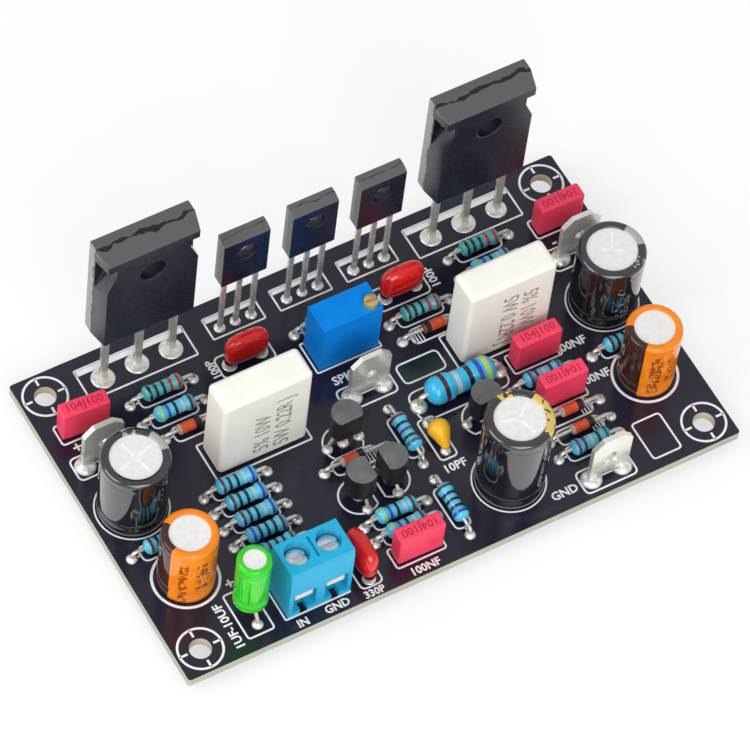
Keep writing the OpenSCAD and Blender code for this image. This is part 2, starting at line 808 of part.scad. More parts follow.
module terminal_screw_left() { clamp_screw(-1); }
module terminal_screw_right() { clamp_screw(1); }

module wire_clamp(s) {
  color([0.7, 0.7, 0.68])
    at_terminal(s * pole_pitch / 2)
      difference() {
        translate([-clamp_w / 2, well_y - clamp_depth / 2, clamp_foot])
          cube([clamp_w, clamp_depth, clamp_top - clamp_foot]);
        translate([-clamp_inner_w / 2, well_y - clamp_depth, clamp_foot + clamp_t])
          cube([clamp_inner_w, 2 * clamp_depth, clamp_top - clamp_foot - 2 * clamp_t]);
        translate([0, well_y, clamp_top - 2 * clamp_t])
          cylinder(d = clamp_screw_d + 2 * running, h = 3 * clamp_t);
      }
}

module terminal_clamp_left() { wire_clamp(-1); }
module terminal_clamp_right() { wire_clamp(1); }

// Push-on tab: a flat blade with chamfered corners and a latch hole, on two legs
module push_tab(p) {
  half = tab_w / 2;
  cut = 1.6;
  shoulder_z = 1.3;
  hole_z = 5.2;
  color([0.8, 0.79, 0.75])
    translate([p[0], p[1] + tab_t / 2, deck])
      along_y(tab_t)
        difference() {
          polygon(concat(
            [[half, shoulder_z], [half, tab_h - cut], [half - cut, tab_h]],
            [[cut - half, tab_h], [-half, tab_h - cut], [-half, shoulder_z]],
            [for (s = [-1, 1], c = [[-1, 1], [-1, -1], [1, -1], [1, 1]])
              [s * tab_leg_pitch / 2 + c[0] * tab_leg_w / 2, c[1] > 0 ? shoulder_z : -power_tail]]
          ));
          translate([0, hole_z])
            circle(d = tab_hole_d);
        }
}

module supply_tab_left() { push_tab(tab_left); }
module supply_tab_right() { push_tab(tab_right); }
module output_tab() { push_tab(tab_output); }
module ground_tab() { push_tab(tab_ground); }

// Cement resistor: an upright white block that tapers a little, with soft edges
module cement_block(p) {
  corner_r = 0.7;
  taper = 0.6;
  soft = 0.5;
  color([0.9, 0.88, 0.84])
    translate([p[0], p[1], deck])
      hull()
        for (c = [[0, 0], [taper, cement_h - soft], [taper + 2 * soft, cement_h]], sx = [-1, 1], sy = [-1, 1])
          translate([
            sx * (cement_l / 2 - corner_r - max(0, c[0] - taper) / 2),
            sy * (cement_w / 2 - corner_r - c[0] / 2),
            c[1] - (c[1] > 0 ? eps : 0)
          ])
            cylinder(r = corner_r, h = eps, $fn = 24);
}

module cement_resistor_left() { cement_block(cement_left); }
module cement_resistor_right() { cement_block(cement_right); }

// Axial body about X: round shoulders at both ends and a slimmer waist
module axial_body(l, d, waist, shoulder) {
  r = d / 2;
  w = waist / 2;
  // End of the body as [radius, share of the shoulder]
  end = [[0, 0], [0.62 * r, 0], [0.86 * r, 0.1], [r, 0.32], [r, 0.72], [0.96 * r, 0.88], [w, 1]];
  rotate([0, 90, 0])
    rotate_extrude()
      polygon(concat(
        [for (e = end) [e[0], e[1] * shoulder - l / 2]],
        [for (i = [len(end) - 1 : -1 : 0]) [end[i][0], l / 2 - end[i][1] * shoulder]]
      ));
}

module axial_at(p, d) {
  translate([p[0], p[1], deck + axial_lift + d / 2])
    rotate([0, 0, p[2]])
      children();
}

shoulder_l = 1.7;
load_shoulder_l = 2.7;
diode_shoulder_l = 0.7;
waist_cut = 0.35;

module small_resistor(p) {
  axial_at(p, resistor_d)
    axial_body(resistor_l, resistor_d, resistor_d - waist_cut, shoulder_l);
}

module blue_resistors() {
  color([0.3, 0.72, 0.85])
    for (p = blue_places)
      small_resistor(p);
}

module teal_resistors() {
  color([0.25, 0.66, 0.66])
    for (p = teal_places)
      small_resistor(p);
}

module load_resistor() {
  color([0.3, 0.76, 0.92])
    axial_at([load_place[0], load_place[1], 0], load_d)
      axial_body(load_l, load_d, load_d - 2 * waist_cut, load_shoulder_l);
}

module glass_diodes() {
  color([0.85, 0.35, 0.2])
    for (p = diode_places)
      axial_at(p, diode_d)
        translate([p[3], 0, 0])
          axial_body(diode_l, diode_d, 0.98 * diode_d, diode_shoulder_l);
}

// Lead of an axial part, from the body's end face out, round a bend and down through the board
module axial_lead(p, body_l, body_d, pitch, wire, tail, shift = 0) {
  axis_z = axial_lift + body_d / 2;
  for (s = [1, -1]) {
    start = body_l / 2 + s * shift;
    r = min(bend_r, pitch / 2 - start - eps);
    translate([p[0], p[1], deck + axis_z])
      rotate([0, 0, p[2] + (s > 0 ? 0 : 180)]) {
        translate([start, 0, 0])
          rotate([0, 90, 0])
            cylinder(d = wire, h = pitch / 2 - r - start);
        translate([pitch / 2 - r, 0, -r])
          rotate([90, 0, 0])
            rotate_extrude(angle = 90)
              translate([r, 0])
                circle(d = wire);
        translate([pitch / 2, 0, -axis_z - tail])
          cylinder(d = wire, h = tail + axis_z - r);
      }
  }
}

module axial_leads() {
  color([0.8, 0.8, 0.77]) {
    for (p = concat(blue_places, teal_places))
      axial_lead(p, resistor_l, resistor_d, axial_pitch, wire_d, small_tail);
    for (p = diode_places)
      axial_lead(p, diode_l, diode_d, axial_pitch, wire_d, small_tail, p[3]);
    axial_lead([load_place[0], load_place[1], 0], load_l, load_d, load_pitch, load_wire_d, small_tail);
    straight_leads(flatten([for (p = [cement_left, cement_right]) flat_pair(p, cement_pitch)]), 0);
  }
}

// Straight leads from a height above the board down to the tails
module straight_leads(places, rise) {
  for (p = places)
    translate([p[0], p[1], deck - small_tail])
      cylinder(d = wire_d, h = small_tail + rise);
}

// Film capacitor: a small box with its upper edges broken
film_edge = 0.3;

// End view of the box over a length, drawn from its middle
module film_view(l) {
  half = l / 2;
  polygon([
    [-half, 0], [half, 0], [half, film_h - film_edge], [half - film_edge, film_h],
    [film_edge - half, film_h], [-half, film_h - film_edge]
  ]);
}

module film_box(p) {
  color([0.82, 0.08, 0.25])
    translate([p[0], p[1], deck])
      rotate([0, 0, p[2]])
        intersection() {
          translate([0, film_w / 2, 0])
            along_y(film_w)
              film_view(film_l);
          along_x(film_l)
            film_view(film_w);
        }
}

module film_capacitor_1() { film_box(film_places[0]); }
module film_capacitor_2() { film_box(film_places[1]); }
module film_capacitor_3() { film_box(film_places[2]); }
module film_capacitor_4() { film_box(film_places[3]); }
module film_capacitor_5() { film_box(film_places[4]); }

// Dipped capacitor: a pillow of resin that stands just clear of the board
dipped_foot = 0.2;

module dipped_body(p) {
  r = dipped_w / 2;
  top_r = 0.9 * r;
  top_in = 1.2 * r;
  color([0.8, 0.08, 0.08])
    translate([p[0], p[1], deck])
      rotate([0, 0, p[2]])
        hull() {
          for (sx = [-1, 1])
            translate([sx * (dipped_l / 2 - r), 0, dipped_foot + r])
              sphere(r = r, $fn = 28);
          for (sx = [-1, 1])
            translate([sx * (dipped_l / 2 - top_in), 0, dipped_h - top_r])
              sphere(r = top_r, $fn = 28);
          for (s = [-1, 1])
            translate([s * film_pitch / 2, 0, dipped_foot])
              cylinder(r = wire_d, h = eps, $fn = 24);
        }
}

module dipped_capacitor_left() { dipped_body(dipped_left); }
module dipped_capacitor_right() { dipped_body(dipped_right); }
module dipped_capacitor_front() { dipped_body(dipped_front); }

// Drop capacitor: a bead of resin that runs down one lead
drop_mid_z = 2.5;
drop_tail_z = 0.9;
drop_knee_z = 1.3;
drop_edge = drop_d / 2;

module drop_capacitor() {
  bead_r = drop_d / 2;
  tail_r = wire_d;
  color([0.95, 0.7, 0.1])
    translate([drop_place[0], drop_place[1], deck])
      hull() {
        translate([0, 0, drop_mid_z])
          sphere(r = bead_r, $fn = 28);
        translate([0, -film_pitch / 2, drop_tail_z])
          cylinder(r = tail_r, h = eps, $fn = 16);
      }
}

// Electrolytic capacitors: an aluminium can in a shrunk sleeve that laps over the rim
module sleeve(d, h, lip) {
  r = d / 2;
  round_r = 0.5;
  inner = r - sleeve_t;
  arc = [for (a = [0 : 22.5 : 90]) [r - round_r + round_r * cos(a), h - round_r + round_r * sin(a)]];
  rotate_extrude()
    polygon(concat(
      [[inner, 0], [r, 0], [r, groove_z - groove_half], [r - groove_depth, groove_z]],
      [[r, groove_z + groove_half]],
      arc,
      [[r - lip, h], [r - lip, h - sleeve_t], [inner, h - sleeve_t], [inner, groove_z + groove_half]],
      [[inner - groove_depth, groove_z], [inner, groove_z - groove_half]]
    ));
}

// Can with a broken rim and pressed lines in its top
function round_in(d) = d > 6 ? 0.4 : 0.3;

module can(d, h, scores) {
  r = d / 2 - sleeve_t - fit;
  score_w = 0.3;
  score_d = 0.12;
  score_in = 1.6;
  top = h - sleeve_t;
  edge = round_in(d);
  difference() {
    rotate_extrude()
      polygon([
        [0, 0], [r, 0], [r, groove_z - groove_half], [r - groove_depth, groove_z],
        [r, groove_z + groove_half], [r, top - edge], [r - edge, top], [0, top]
      ]);
    for (a = scores)
      rotate([0, 0, a])
        translate([0, -score_w / 2, top - score_d])
          cube([r - score_in, score_w, score_d + eps]);
  }
}

module on_board(p, z = 0) {
  translate([p[0], p[1], deck + z])
    children();
}

module black_sleeve(p, h) {
  color([0.06, 0.06, 0.08])
    on_board(p)
      sleeve(black_d, h, black_lip);
}

module orange_sleeve(p) {
  color([0.95, 0.5, 0.05])
    on_board(p)
      sleeve(orange_d, orange_h, orange_lip);
}

module black_sleeve_left() { black_sleeve(black_left, black_h); }
module black_sleeve_right() { black_sleeve(black_right, black_h); }
module black_sleeve_front() { black_sleeve(black_front, tall_h); }
module orange_sleeve_left() { orange_sleeve(orange_left); }
module orange_sleeve_right() { orange_sleeve(orange_right); }

module green_sleeve() {
  color([0.1, 0.75, 0.1])
    on_board(green_place, green_stand)
      sleeve(green_d, green_h, green_lip);
}

module black_cans() {
  cross = [45, 135, 225, 315];
  three_way = [90, 210, 330];
  color([0.9, 0.9, 0.89]) {
    on_board(black_left) can(black_d, black_h, cross);
    on_board(black_right) can(black_d, black_h, cross);
    on_board(black_front) can(black_d, tall_h, three_way);
  }
}

module orange_cans() {
  color([0.9, 0.9, 0.89])
    for (p = [orange_left, orange_right])
      on_board(p)
        can(orange_d, orange_h, []);
}

module green_can() {
  color([0.9, 0.9, 0.89])
    on_board(green_place, green_stand)
      can(green_d, green_h, []);
}

// Leads of all the capacitors; those of the green one are splayed to a wider pair of pads
module capacitor_leads() {
  strip_w = wire_d / sqrt(2);
  half = strip_w / 2;
  knee = 0.8;
  color([0.8, 0.8, 0.77]) {
    straight_leads(flatten([for (p = film_places) pair_of_pads(p, film_pitch)]), 0);
    straight_leads(flatten([for (p = [black_left, black_right, black_front]) flat_pair(p, black_pitch)]), 0);
    straight_leads(flatten([for (p = [orange_left, orange_right]) flat_pair(p, orange_pitch)]), 0);
    straight_leads(flatten([for (p = dipped_places) pair_of_pads(p, film_pitch)]), dipped_foot);
    straight_leads([drop_pads[0]], drop_tail_z);
    translate([drop_place[0] - half, drop_place[1], deck])
      rotate([90, 0, 90])
        linear_extrude(strip_w)
          polygon([
            [film_pitch / 2 - half, -small_tail], [film_pitch / 2 + half, -small_tail],
            [film_pitch / 2 + half, drop_knee_z + half], [drop_edge, drop_mid_z + half],
            [drop_edge, drop_mid_z - half], [film_pitch / 2 - half, drop_knee_z - half]
          ]);
    for (s = [-1, 1])
      translate([green_place[0] - half, green_place[1], deck])
        rotate([90, 0, 90])
          linear_extrude(strip_w)
            polygon([
              [s * green_pitch / 2 - half, green_stand], [s * green_pitch / 2 + half, green_stand],
              [s * film_pitch / 2 + half, knee], [s * film_pitch / 2 + half, -small_tail],
              [s * film_pitch / 2 - half, -small_tail], [s * film_pitch / 2 - half, knee]
            ]);
  }
}

circuit_board();
solder_joints();
power_solder_joints();
power_transistor_left_body();
power_transistor_left_leads();
power_transistor_right_body();
power_transistor_right_leads();
driver_transistor_left_body();
driver_transistor_middle_body();
driver_transistor_right_body();
driver_transistor_leads();
signal_transistor_1();
signal_transistor_2();
signal_transistor_3();
signal_transistor_4();
signal_transistor_leads();
trimmer_housing();
trimmer_base();
trimmer_element();
trimmer_pins();
trimmer_screw();
trimmer_wheel();
terminal_housing();
terminal_bars();
terminal_screw_left();
terminal_screw_right();
terminal_clamp_left();
terminal_clamp_right();
supply_tab_left();
supply_tab_right();
output_tab();
ground_tab();
cement_resistor_left();
cement_resistor_right();
load_resistor();
blue_resistors();
teal_resistors();
glass_diodes();
axial_leads();
film_capacitor_1();
film_capacitor_2();
film_capacitor_3();
film_capacitor_4();
film_capacitor_5();
dipped_capacitor_left();
dipped_capacitor_right();
dipped_capacitor_front();
drop_capacitor();
black_sleeve_left();
black_sleeve_right();
black_sleeve_front();
orange_sleeve_left();
orange_sleeve_right();
green_sleeve();
black_cans();
orange_cans();
green_can();
capacitor_leads();
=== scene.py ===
"""Looks of an audio amplifier board, worked out as numpy surfaces around its CAD frame.

All sizes are in millimetres and become metres as a mesh is made. X runs along the row of power transistors, Y
towards that row and Z up.
"""

import logging
import math
from dataclasses import dataclass, field, replace
from enum import Enum

import bmesh
import bpy
import numpy as np
from mathutils import Matrix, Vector
from mathutils.geometry import delaunay_2d_cdt


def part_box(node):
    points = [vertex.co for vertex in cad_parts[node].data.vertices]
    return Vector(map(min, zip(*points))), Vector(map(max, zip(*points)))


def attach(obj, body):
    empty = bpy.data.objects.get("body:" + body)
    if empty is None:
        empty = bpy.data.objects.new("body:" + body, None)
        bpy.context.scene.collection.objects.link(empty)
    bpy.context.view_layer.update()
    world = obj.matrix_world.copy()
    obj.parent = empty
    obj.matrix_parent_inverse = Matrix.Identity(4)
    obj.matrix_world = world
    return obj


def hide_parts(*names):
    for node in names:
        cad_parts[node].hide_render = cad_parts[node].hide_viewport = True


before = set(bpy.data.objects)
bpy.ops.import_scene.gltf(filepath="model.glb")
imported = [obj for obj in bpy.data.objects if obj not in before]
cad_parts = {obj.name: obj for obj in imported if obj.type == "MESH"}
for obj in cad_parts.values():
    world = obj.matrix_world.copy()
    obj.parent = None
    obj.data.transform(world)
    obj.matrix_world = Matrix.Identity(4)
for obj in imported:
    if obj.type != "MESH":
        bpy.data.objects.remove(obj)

LOG = logging.getLogger("amplifier_board")
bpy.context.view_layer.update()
MM = 0.001
BOARD = "board"
SIDES = ("left", "right")

Colour = tuple[float, float, float]
Place = tuple[float, float, float]
Spot = tuple[float, float]
Socket = bpy.types.NodeSocket


def box_mm(node: str) -> tuple[np.ndarray, np.ndarray]:
    """Lowest and highest corner of a CAD node, in millimetres."""
    low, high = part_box(node)
    return np.array(low) / MM, np.array(high) / MM


DECK = float(box_mm("circuit_board")[1][2])
UNDERSIDE = float(box_mm("circuit_board")[0][2])
WIRE_R = 0.3
SMALL_TAIL = -3.0


class Layout:
    """Middles of parts that share a CAD node, as (x, y, turn in degrees), and the pitches of their leads."""

    BANK = [(-23.8, -2.1 - 2.95 * i, 0) for i in range(5)]
    BLUE = BANK + [
        (-25.8, 12.2, 0), (-37.3, -6.1, 0), (26.6, 13.6, 0), (0.7, 16, 0), (1.5, -5.9, 90), (1.6, -18.9, 90),
        (-6.1, -16.4, 0), (-6, -19.2, 0), (23.7, -6.3, 0), (37, -6.3, 0), (24, -19, 0),
    ]
    TEAL = [(-25.7, 16, 0), (26.7, 17.2, 0), (13.6, 11.3, 0)]
    DIODES = [(-24, 8.9, 0), (14, 8.1, 0), (-6.7, -6.1, 0), (24.2, -12.9, 0), (24.2, -16.1, 0)]
    DIODE_SHIFTS = [-1.2, 0.1, -0.6, 0.3, 0.2]
    DIODE_TURNS = [0, 180, 0, 0, 0]
    AXIAL = BLUE + TEAL + DIODES
    LOAD = (12.2, -2.4, 0)
    CEMENT = [(-18, 3, 0), (21.6, 3.4, 0)]
    FILM = [(-38.2, 16.2, -4.5), (39.2, 16.3, 0), (24.6, -2.2, 0), (24.5, -9.7, 0), (-6.2, -22.5, -1)]
    DIPPED = [(-12.4, 15.8, 0), (12.9, 15.7, 0), (-14.5, -21.2, 90)]
    DROP = (5.4, -8, 90)
    BLACK = [(-38.3, 1.4, 0), (38.2, 1.4, 0), (11, -18.6, 0)]
    ORANGE = [(-37.1, -12.1, 0), (37.3, -12.1, 0)]
    GREEN = (-31.8, -20.6, 90)
    TRIMMER_PINS = [(-1.74, 10.33, 0), (0.8, 11.6, 0), (3.34, 10.33, 0)]
    SIGNAL = [(-6.9, -2.8, 0), (-9.2, -11.4, 90), (-4, -10.9, -90), (12.8, -8.1, 0)]
    TABS = [(-38.5, 10.1, 0), (39, 10.3, 0), (0.4, 3.2, 0), (23.9, -23.87, 0)]
    POWER = [(-26.5, 21.9, 0), (27, 21.9, 0)]
    DRIVER = [(-10.65, 21.9, 0), (0.25, 21.9, 0), (11.2, 21.9, 0)]
    TERMINAL_BARS = (-22.7, -17.97, 0)
    HOLES = [(-40.64, -22.86), (-40.64, 22.86), (40.64, -22.86), (40.64, 22.86)]
    AXIAL_PITCH = 10.1
    LOAD_PITCH = 13.1
    BOX_PITCH = 5.0
    BLACK_PITCH = 5.0
    ORANGE_PITCH = 3.5
    CEMENT_PITCH = 10.0
    TAB_PITCH = 5.0
    BAR_PITCH = 5.0
    SMALL_PITCH = 2.54
    POWER_PITCH = 5.45


# Surfaces


@dataclass
class Surface:
    """A mesh in millimetres, with an optional colour for each point and a finish number for each face."""

    points: np.ndarray
    quads: np.ndarray = field(default_factory=lambda: np.zeros((0, 4), int))
    caps: list[tuple[int, ...]] = field(default_factory=list)
    paint: np.ndarray | None = None
    quad_finish: int = 0
    finishes: np.ndarray | None = None

    def finish_numbers(self) -> np.ndarray:
        """Finish number of each face, the four-sided ones first."""
        if self.finishes is not None:
            return self.finishes
        sides = np.full(len(self.quads), self.quad_finish)
        return np.concatenate([sides, np.zeros(len(self.caps))]).astype(int)

    def moved(self, x: float = 0.0, y: float = 0.0, z: float = 0.0) -> "Surface":
        """The same surface, shifted."""
        return self.with_points(self.points + np.array([x, y, z]))

    def turned(self, degrees: float) -> "Surface":
        """The same surface, turned about Z."""
        c, s = math.cos(math.radians(degrees)), math.sin(math.radians(degrees))
        return self.with_points(self.points @ np.array([[c, s, 0], [-s, c, 0], [0, 0, 1]]))

    def stood_up(self) -> "Surface":
        """The same surface with its Y turned up to Z, and its Z to the front."""
        x, y, z = self.points.T
        return self.with_points(np.stack([x, -z, y], 1))

    def laid_along_x(self) -> "Surface":
        """The same surface with its Z turned down to X."""
        x, y, z = self.points.T
        return self.with_points(np.stack([z, y, -x], 1))

    def with_points(self, points: np.ndarray) -> "Surface":
        """The same faces and colours on other points."""
        return replace(self, points=points)

    def at(self, place: Place, z: float) -> "Surface":
        """The same surface turned and put at a place of the layout, at a height."""
        return self.turned(place[2]).moved(place[0], place[1], z)


def join(parts: list[Surface]) -> Surface:
    """One surface from several, with white where a part has no colour of its own.

    Args:
        parts: the surfaces to join.

    Returns:
        A surface that holds all their points and faces.
    """
    starts = np.cumsum([0] + [len(p.points) for p in parts])
    quads = np.concatenate([p.quads + s for p, s in zip(parts, starts)])
    caps = [tuple(i + s for i in cap) for p, s in zip(parts, starts) for cap in p.caps]
    numbers = [p.finish_numbers() for p in parts]
    sides = [n[: len(p.quads)] for n, p in zip(numbers, parts)]
    ends = [n[len(p.quads):] for n, p in zip(numbers, parts)]
    paint = np.concatenate([np.ones((len(p.points), 3)) if p.paint is None else p.paint for p in parts])
    points = np.concatenate([p.points for p in parts])
    return Surface(points, quads, caps, paint, finishes=np.concatenate(sides + ends))


def grid_quads(rows: int, columns: int, loop: bool = False) -> np.ndarray:
    """Faces of a grid of points, row by row, where each row closes on itself.

    Args:
        rows: number of rows.
        columns: points in each row.
        loop: whether the last row joins the first.

    Returns:
        Four point numbers a face, outward where rows go up and columns go round to the left.
    """
    r = np.arange(rows if loop else rows - 1)[:, None]
    c = np.arange(columns)[None, :]
    up, right = (r + 1) % rows, (c + 1) % columns
    faces = [r * columns + c, r * columns + right, up * columns + right, up * columns + c]
    return np.stack(np.broadcast_arrays(*faces), -1).reshape(-1, 4)


def ringed(rings: np.ndarray, loop: bool = False) -> Surface:
    """A closed surface through rings of points of the same count, with flat ends unless it loops.

    Args:
        rings: array of rings, points and coordinates.
        loop: whether the last ring joins the first, as in a tube with a bore.

    Returns:
        The surface.
    """
    rows, columns = rings.shape[:2]
    last = (rows - 1) * columns
    ends = [] if loop else [tuple(range(columns))[::-1], tuple(range(last, last + columns))]
    return Surface(rings.reshape(-1, 3), grid_quads(rows, columns, loop=loop), ends)


def lathe(profile: np.ndarray, turns: int = 40, loop: bool = False) -> Surface:
    """A point (r, z) of the profile goes round Z as (r cos t, r sin t, z).

    Args:
        profile: radii and heights, up along the outside.
        turns: points in a turn.
        loop: whether the profile is closed on itself.

    Returns:
        The turned surface.
    """
    t = np.linspace(0, 2 * math.pi, turns, endpoint=False)
    r, z = np.asarray(profile, float).T
    rings = np.stack([np.outer(r, np.cos(t)), np.outer(r, np.sin(t)), np.repeat(z[:, None], turns, 1)], -1)
    return ringed(rings, loop)


def tube(path: np.ndarray, radius: float | np.ndarray, side: Place = (0, 1, 0), sides: int = 12) -> Surface:
    """A circle of the given radius carried along a flat path.

    Each ring is path + radius (cos a side + sin a (tangent x side)).

    Args:
        path: points of the path, all in one plane.
        radius: one radius, or one for each point.
        side: the plane's normal.
        sides: points in a ring.

    Returns:
        The tube, closed at both ends.
    """
    path = np.asarray(path, float)
    tangent = np.gradient(path, axis=0)
    tangent /= np.linalg.norm(tangent, axis=1, keepdims=True)
    across = np.cross(tangent, side)
    a = np.linspace(0, 2 * math.pi, sides, endpoint=False)[None, :, None]
    r = np.broadcast_to(radius, len(path))[:, None, None]
    rings = path[:, None] + r * (np.cos(a) * np.array(side) + np.sin(a) * across[:, None])
    return ringed(rings)


def rounded(corners: list[Spot], radius: float, steps: int = 5) -> np.ndarray:
    """An outline whose corners are swept from edge to edge as (1-t)^2 a + 2 t (1-t) corner + t^2 b.

    Args:
        corners: the outline's corners, to the left.
        radius: how far from the corner each sweep starts.
        steps: points in a sweep, less one.

    Returns:
        The outline's points.
    """
    p = np.asarray(corners, float)
    before, after = np.roll(p, 1, 0) - p, np.roll(p, -1, 0) - p
    a = p + radius * before / np.linalg.norm(before, axis=1, keepdims=True)
    b = p + radius * after / np.linalg.norm(after, axis=1, keepdims=True)
    t = np.linspace(0, 1, steps + 1)[None, :, None]
    sweep = (1 - t) ** 2 * a[:, None] + 2 * t * (1 - t) * p[:, None] + t ** 2 * b[:, None]
    return sweep.reshape(-1, 2)


def inset(outline: np.ndarray, amount: np.ndarray) -> np.ndarray:
    """The outline moved inwards along each point's mitre, once for each amount.

    Args:
        outline: points of a closed outline, to the left.
        amount: distances to move in.

    Returns:
        One outline for each amount.
    """
    edge = np.roll(outline, -1, 0) - outline
    edge /= np.linalg.norm(edge, axis=1, keepdims=True) + 1e-12
    normal = np.stack([-edge[:, 1], edge[:, 0]], 1)
    previous = np.roll(normal, 1, 0)
    mitre = (normal + previous) / (1 + np.sum(normal * previous, 1, keepdims=True))
    return outline[None] + amount[:, None, None] * mitre[None]


def prism(outline: np.ndarray, low: float, high: float, soft: float, steps: int = 3) -> Surface:
    """An outline carried up from low to high, with its two rims rounded by a quarter circle.

    At angle a from the end, a ring is set in by soft (1 - sin a) and lies soft (1 - cos a) from the end.

    Args:
        outline: points of the outline, to the left.
        low: height of the lower end.
        high: height of the upper end.
        soft: radius of the rims.
        steps: rings in a quarter, less one.

    Returns:
        The closed surface.
    """
    a = np.linspace(0, math.pi / 2, steps + 1)
    amount = soft * (1 - np.sin(a))
    rise = soft * (1 - np.cos(a))
    flat = inset(outline, np.concatenate([amount, amount[::-1]]))
    z = np.concatenate([low + rise, high - rise[::-1]])
    rings = np.concatenate([flat, np.repeat(z[:, None, None], len(outline), 1)], 2)
    return ringed(rings)


def rounded_box(size: Place, radius: float, steps: int = 4) -> Surface:
    """A box with round edges: a sphere whose eight parts are pulled out to the box's corners.

    The point in direction d is sign(d) (half size - radius) + radius d.

    Args:
        size: length, width and height.
        radius: radius of the edges.
        steps: rings in a quarter, less one.

    Returns:
        The closed surface, about its own middle.
    """
    quarter = np.linspace(0, math.pi / 2, steps + 1)
    height = np.concatenate([quarter - math.pi / 2, quarter])
    up = np.repeat([-1.0, 1.0], steps + 1)
    round_z = np.concatenate([quarter + q * math.pi / 2 for q in range(4)])
    right = np.repeat([1.0, -1.0, -1.0, 1.0], steps + 1)
    back = np.repeat([1.0, 1.0, -1.0, -1.0], steps + 1)
    direction = np.stack(np.broadcast_arrays(
        np.outer(np.cos(height), np.cos(round_z)),
        np.outer(np.cos(height), np.sin(round_z)),
        np.sin(height)[:, None],
    ), -1)
    sign = np.stack(np.broadcast_arrays(right[None, :], back[None, :], up[:, None]), -1)
    return ringed(sign * (np.array(size) / 2 - radius) + radius * direction)


def stroke(path: np.ndarray, width: float, z: float, thick: float, closed: bool = False) -> Surface:
    """A flat ribbon along a path: a rectangle carried along it, with its width across the path.

    Args:
        path: points of the path.
        width: width of the ribbon.
        z: height of its underside.
        thick: its thickness.
        closed: whether the path ends where it starts.

    Returns:
        The ribbon as a closed surface.
    """
    path = np.asarray(path, float)
    step = np.roll(path, -1, 0) - np.roll(path, 1, 0) if closed else np.gradient(path, axis=0)
    step /= np.linalg.norm(step, axis=1, keepdims=True) + 1e-12
    across = np.stack([-step[:, 1], step[:, 0]], 1) * width / 2
    side = np.array([1, 1, -1, -1.0])[None, :, None]
    flat = path[:, None] + side * across[:, None]
    lift = np.broadcast_to(np.array([0, thick, thick, 0.0])[None, :, None] + z, flat.shape[:2] + (1,))
    return ringed(np.concatenate([flat, lift], 2), loop=closed)


def copies(shape: Surface, places: list[Place], z: float, spread: np.ndarray | None = None) -> Surface:
    """The same surface at many places at once, each turned and, where asked, made larger.

    Args:
        shape: the surface to repeat.
        places: x, y and turn of each copy.
        z: height of the copies.
        spread: a size factor for each copy.

    Returns:
        One surface with all the copies.
    """
    place = np.asarray(places, float)
    turn = np.radians(place[:, 2])[:, None]
    k = np.ones(len(place)) if spread is None else spread
    x, y, up = shape.points.T
    along = k[:, None] * (x * np.cos(turn) - y * np.sin(turn)) + place[:, :1]
    back = k[:, None] * (x * np.sin(turn) + y * np.cos(turn)) + place[:, 1:2]
    points = np.stack([along, back, np.broadcast_to(up + z, along.shape)], -1).reshape(-1, 3)
    count = len(shape.points)
    quads = (shape.quads[None] + count * np.arange(len(place))[:, None, None]).reshape(-1, 4)
    caps = [tuple(i + count * n for i in cap) for n in range(len(place)) for cap in shape.caps]
    return Surface(points, quads, caps)


def corners_of(x: Spot, y: Spot) -> list[Spot]:
    """The four corners of a box between two places each way, to the left."""
    return [(x[0], y[0]), (x[1], y[0]), (x[1], y[1]), (x[0], y[1])]


def turning(degrees: float) -> np.ndarray:
    """The matrix that turns rows of (x, y) to the left."""
    c, s = math.cos(math.radians(degrees)), math.sin(math.radians(degrees))
    return np.array([[c, s], [-s, c]])


def in_scene(name: str, data: bpy.types.ID) -> bpy.types.Object:
    """A new object with this data, linked to the scene."""
    item = bpy.data.objects.new(name, data)
    bpy.context.scene.collection.objects.link(item)
    return item


CAPITAL_SHARE = 0.7


def lettering(words: str, height: float, thick: float, bold: float = 0.0) -> Surface:
    """Plain words as a thin plate that lies in XY about its own middle.

    Args:
        words: what it says.
        height: height of a capital.
        thick: thickness of the plate.
        bold: how much each stroke is widened.

    Returns:
        The letters as one surface.
    """
    curve = bpy.data.curves.new("lettering", "FONT")
    curve.body = words
    curve.size = height / CAPITAL_SHARE
    curve.align_x = "CENTER"
    curve.align_y = "CENTER"
    curve.extrude = thick / 2
    curve.offset = bold
    curve.resolution_u = 2
    item = in_scene("lettering", curve)
    mesh = bpy.data.meshes.new_from_object(item.evaluated_get(bpy.context.evaluated_depsgraph_get()))
    points = np.zeros(len(mesh.vertices) * 3)
    mesh.vertices.foreach_get("co", points)
    faces = [tuple(p.vertices) for p in mesh.polygons]
    bpy.data.objects.remove(item)
    bpy.data.curves.remove(curve)
    bpy.data.meshes.remove(mesh)
    return Surface(points.reshape(-1, 3), caps=faces)


# Finishes


BUMP_DEPTH = 0.1
COAT_ROUGH = 0.08
DRIFT_DETAIL = 4.0
DRIFT_RANGE = (0.35, 0.7)
GRAIN_DETAIL = 5.0
GRAIN_RANGE = (0.3, 0.7)
LAYER_RANGE = (0.35, 0.65)


def fill(node: bpy.types.Node, values: dict[str, object]) -> None:
    """Sets a node's inputs by their names."""
    for socket, value in values.items():
        node.inputs[socket].default_value = value


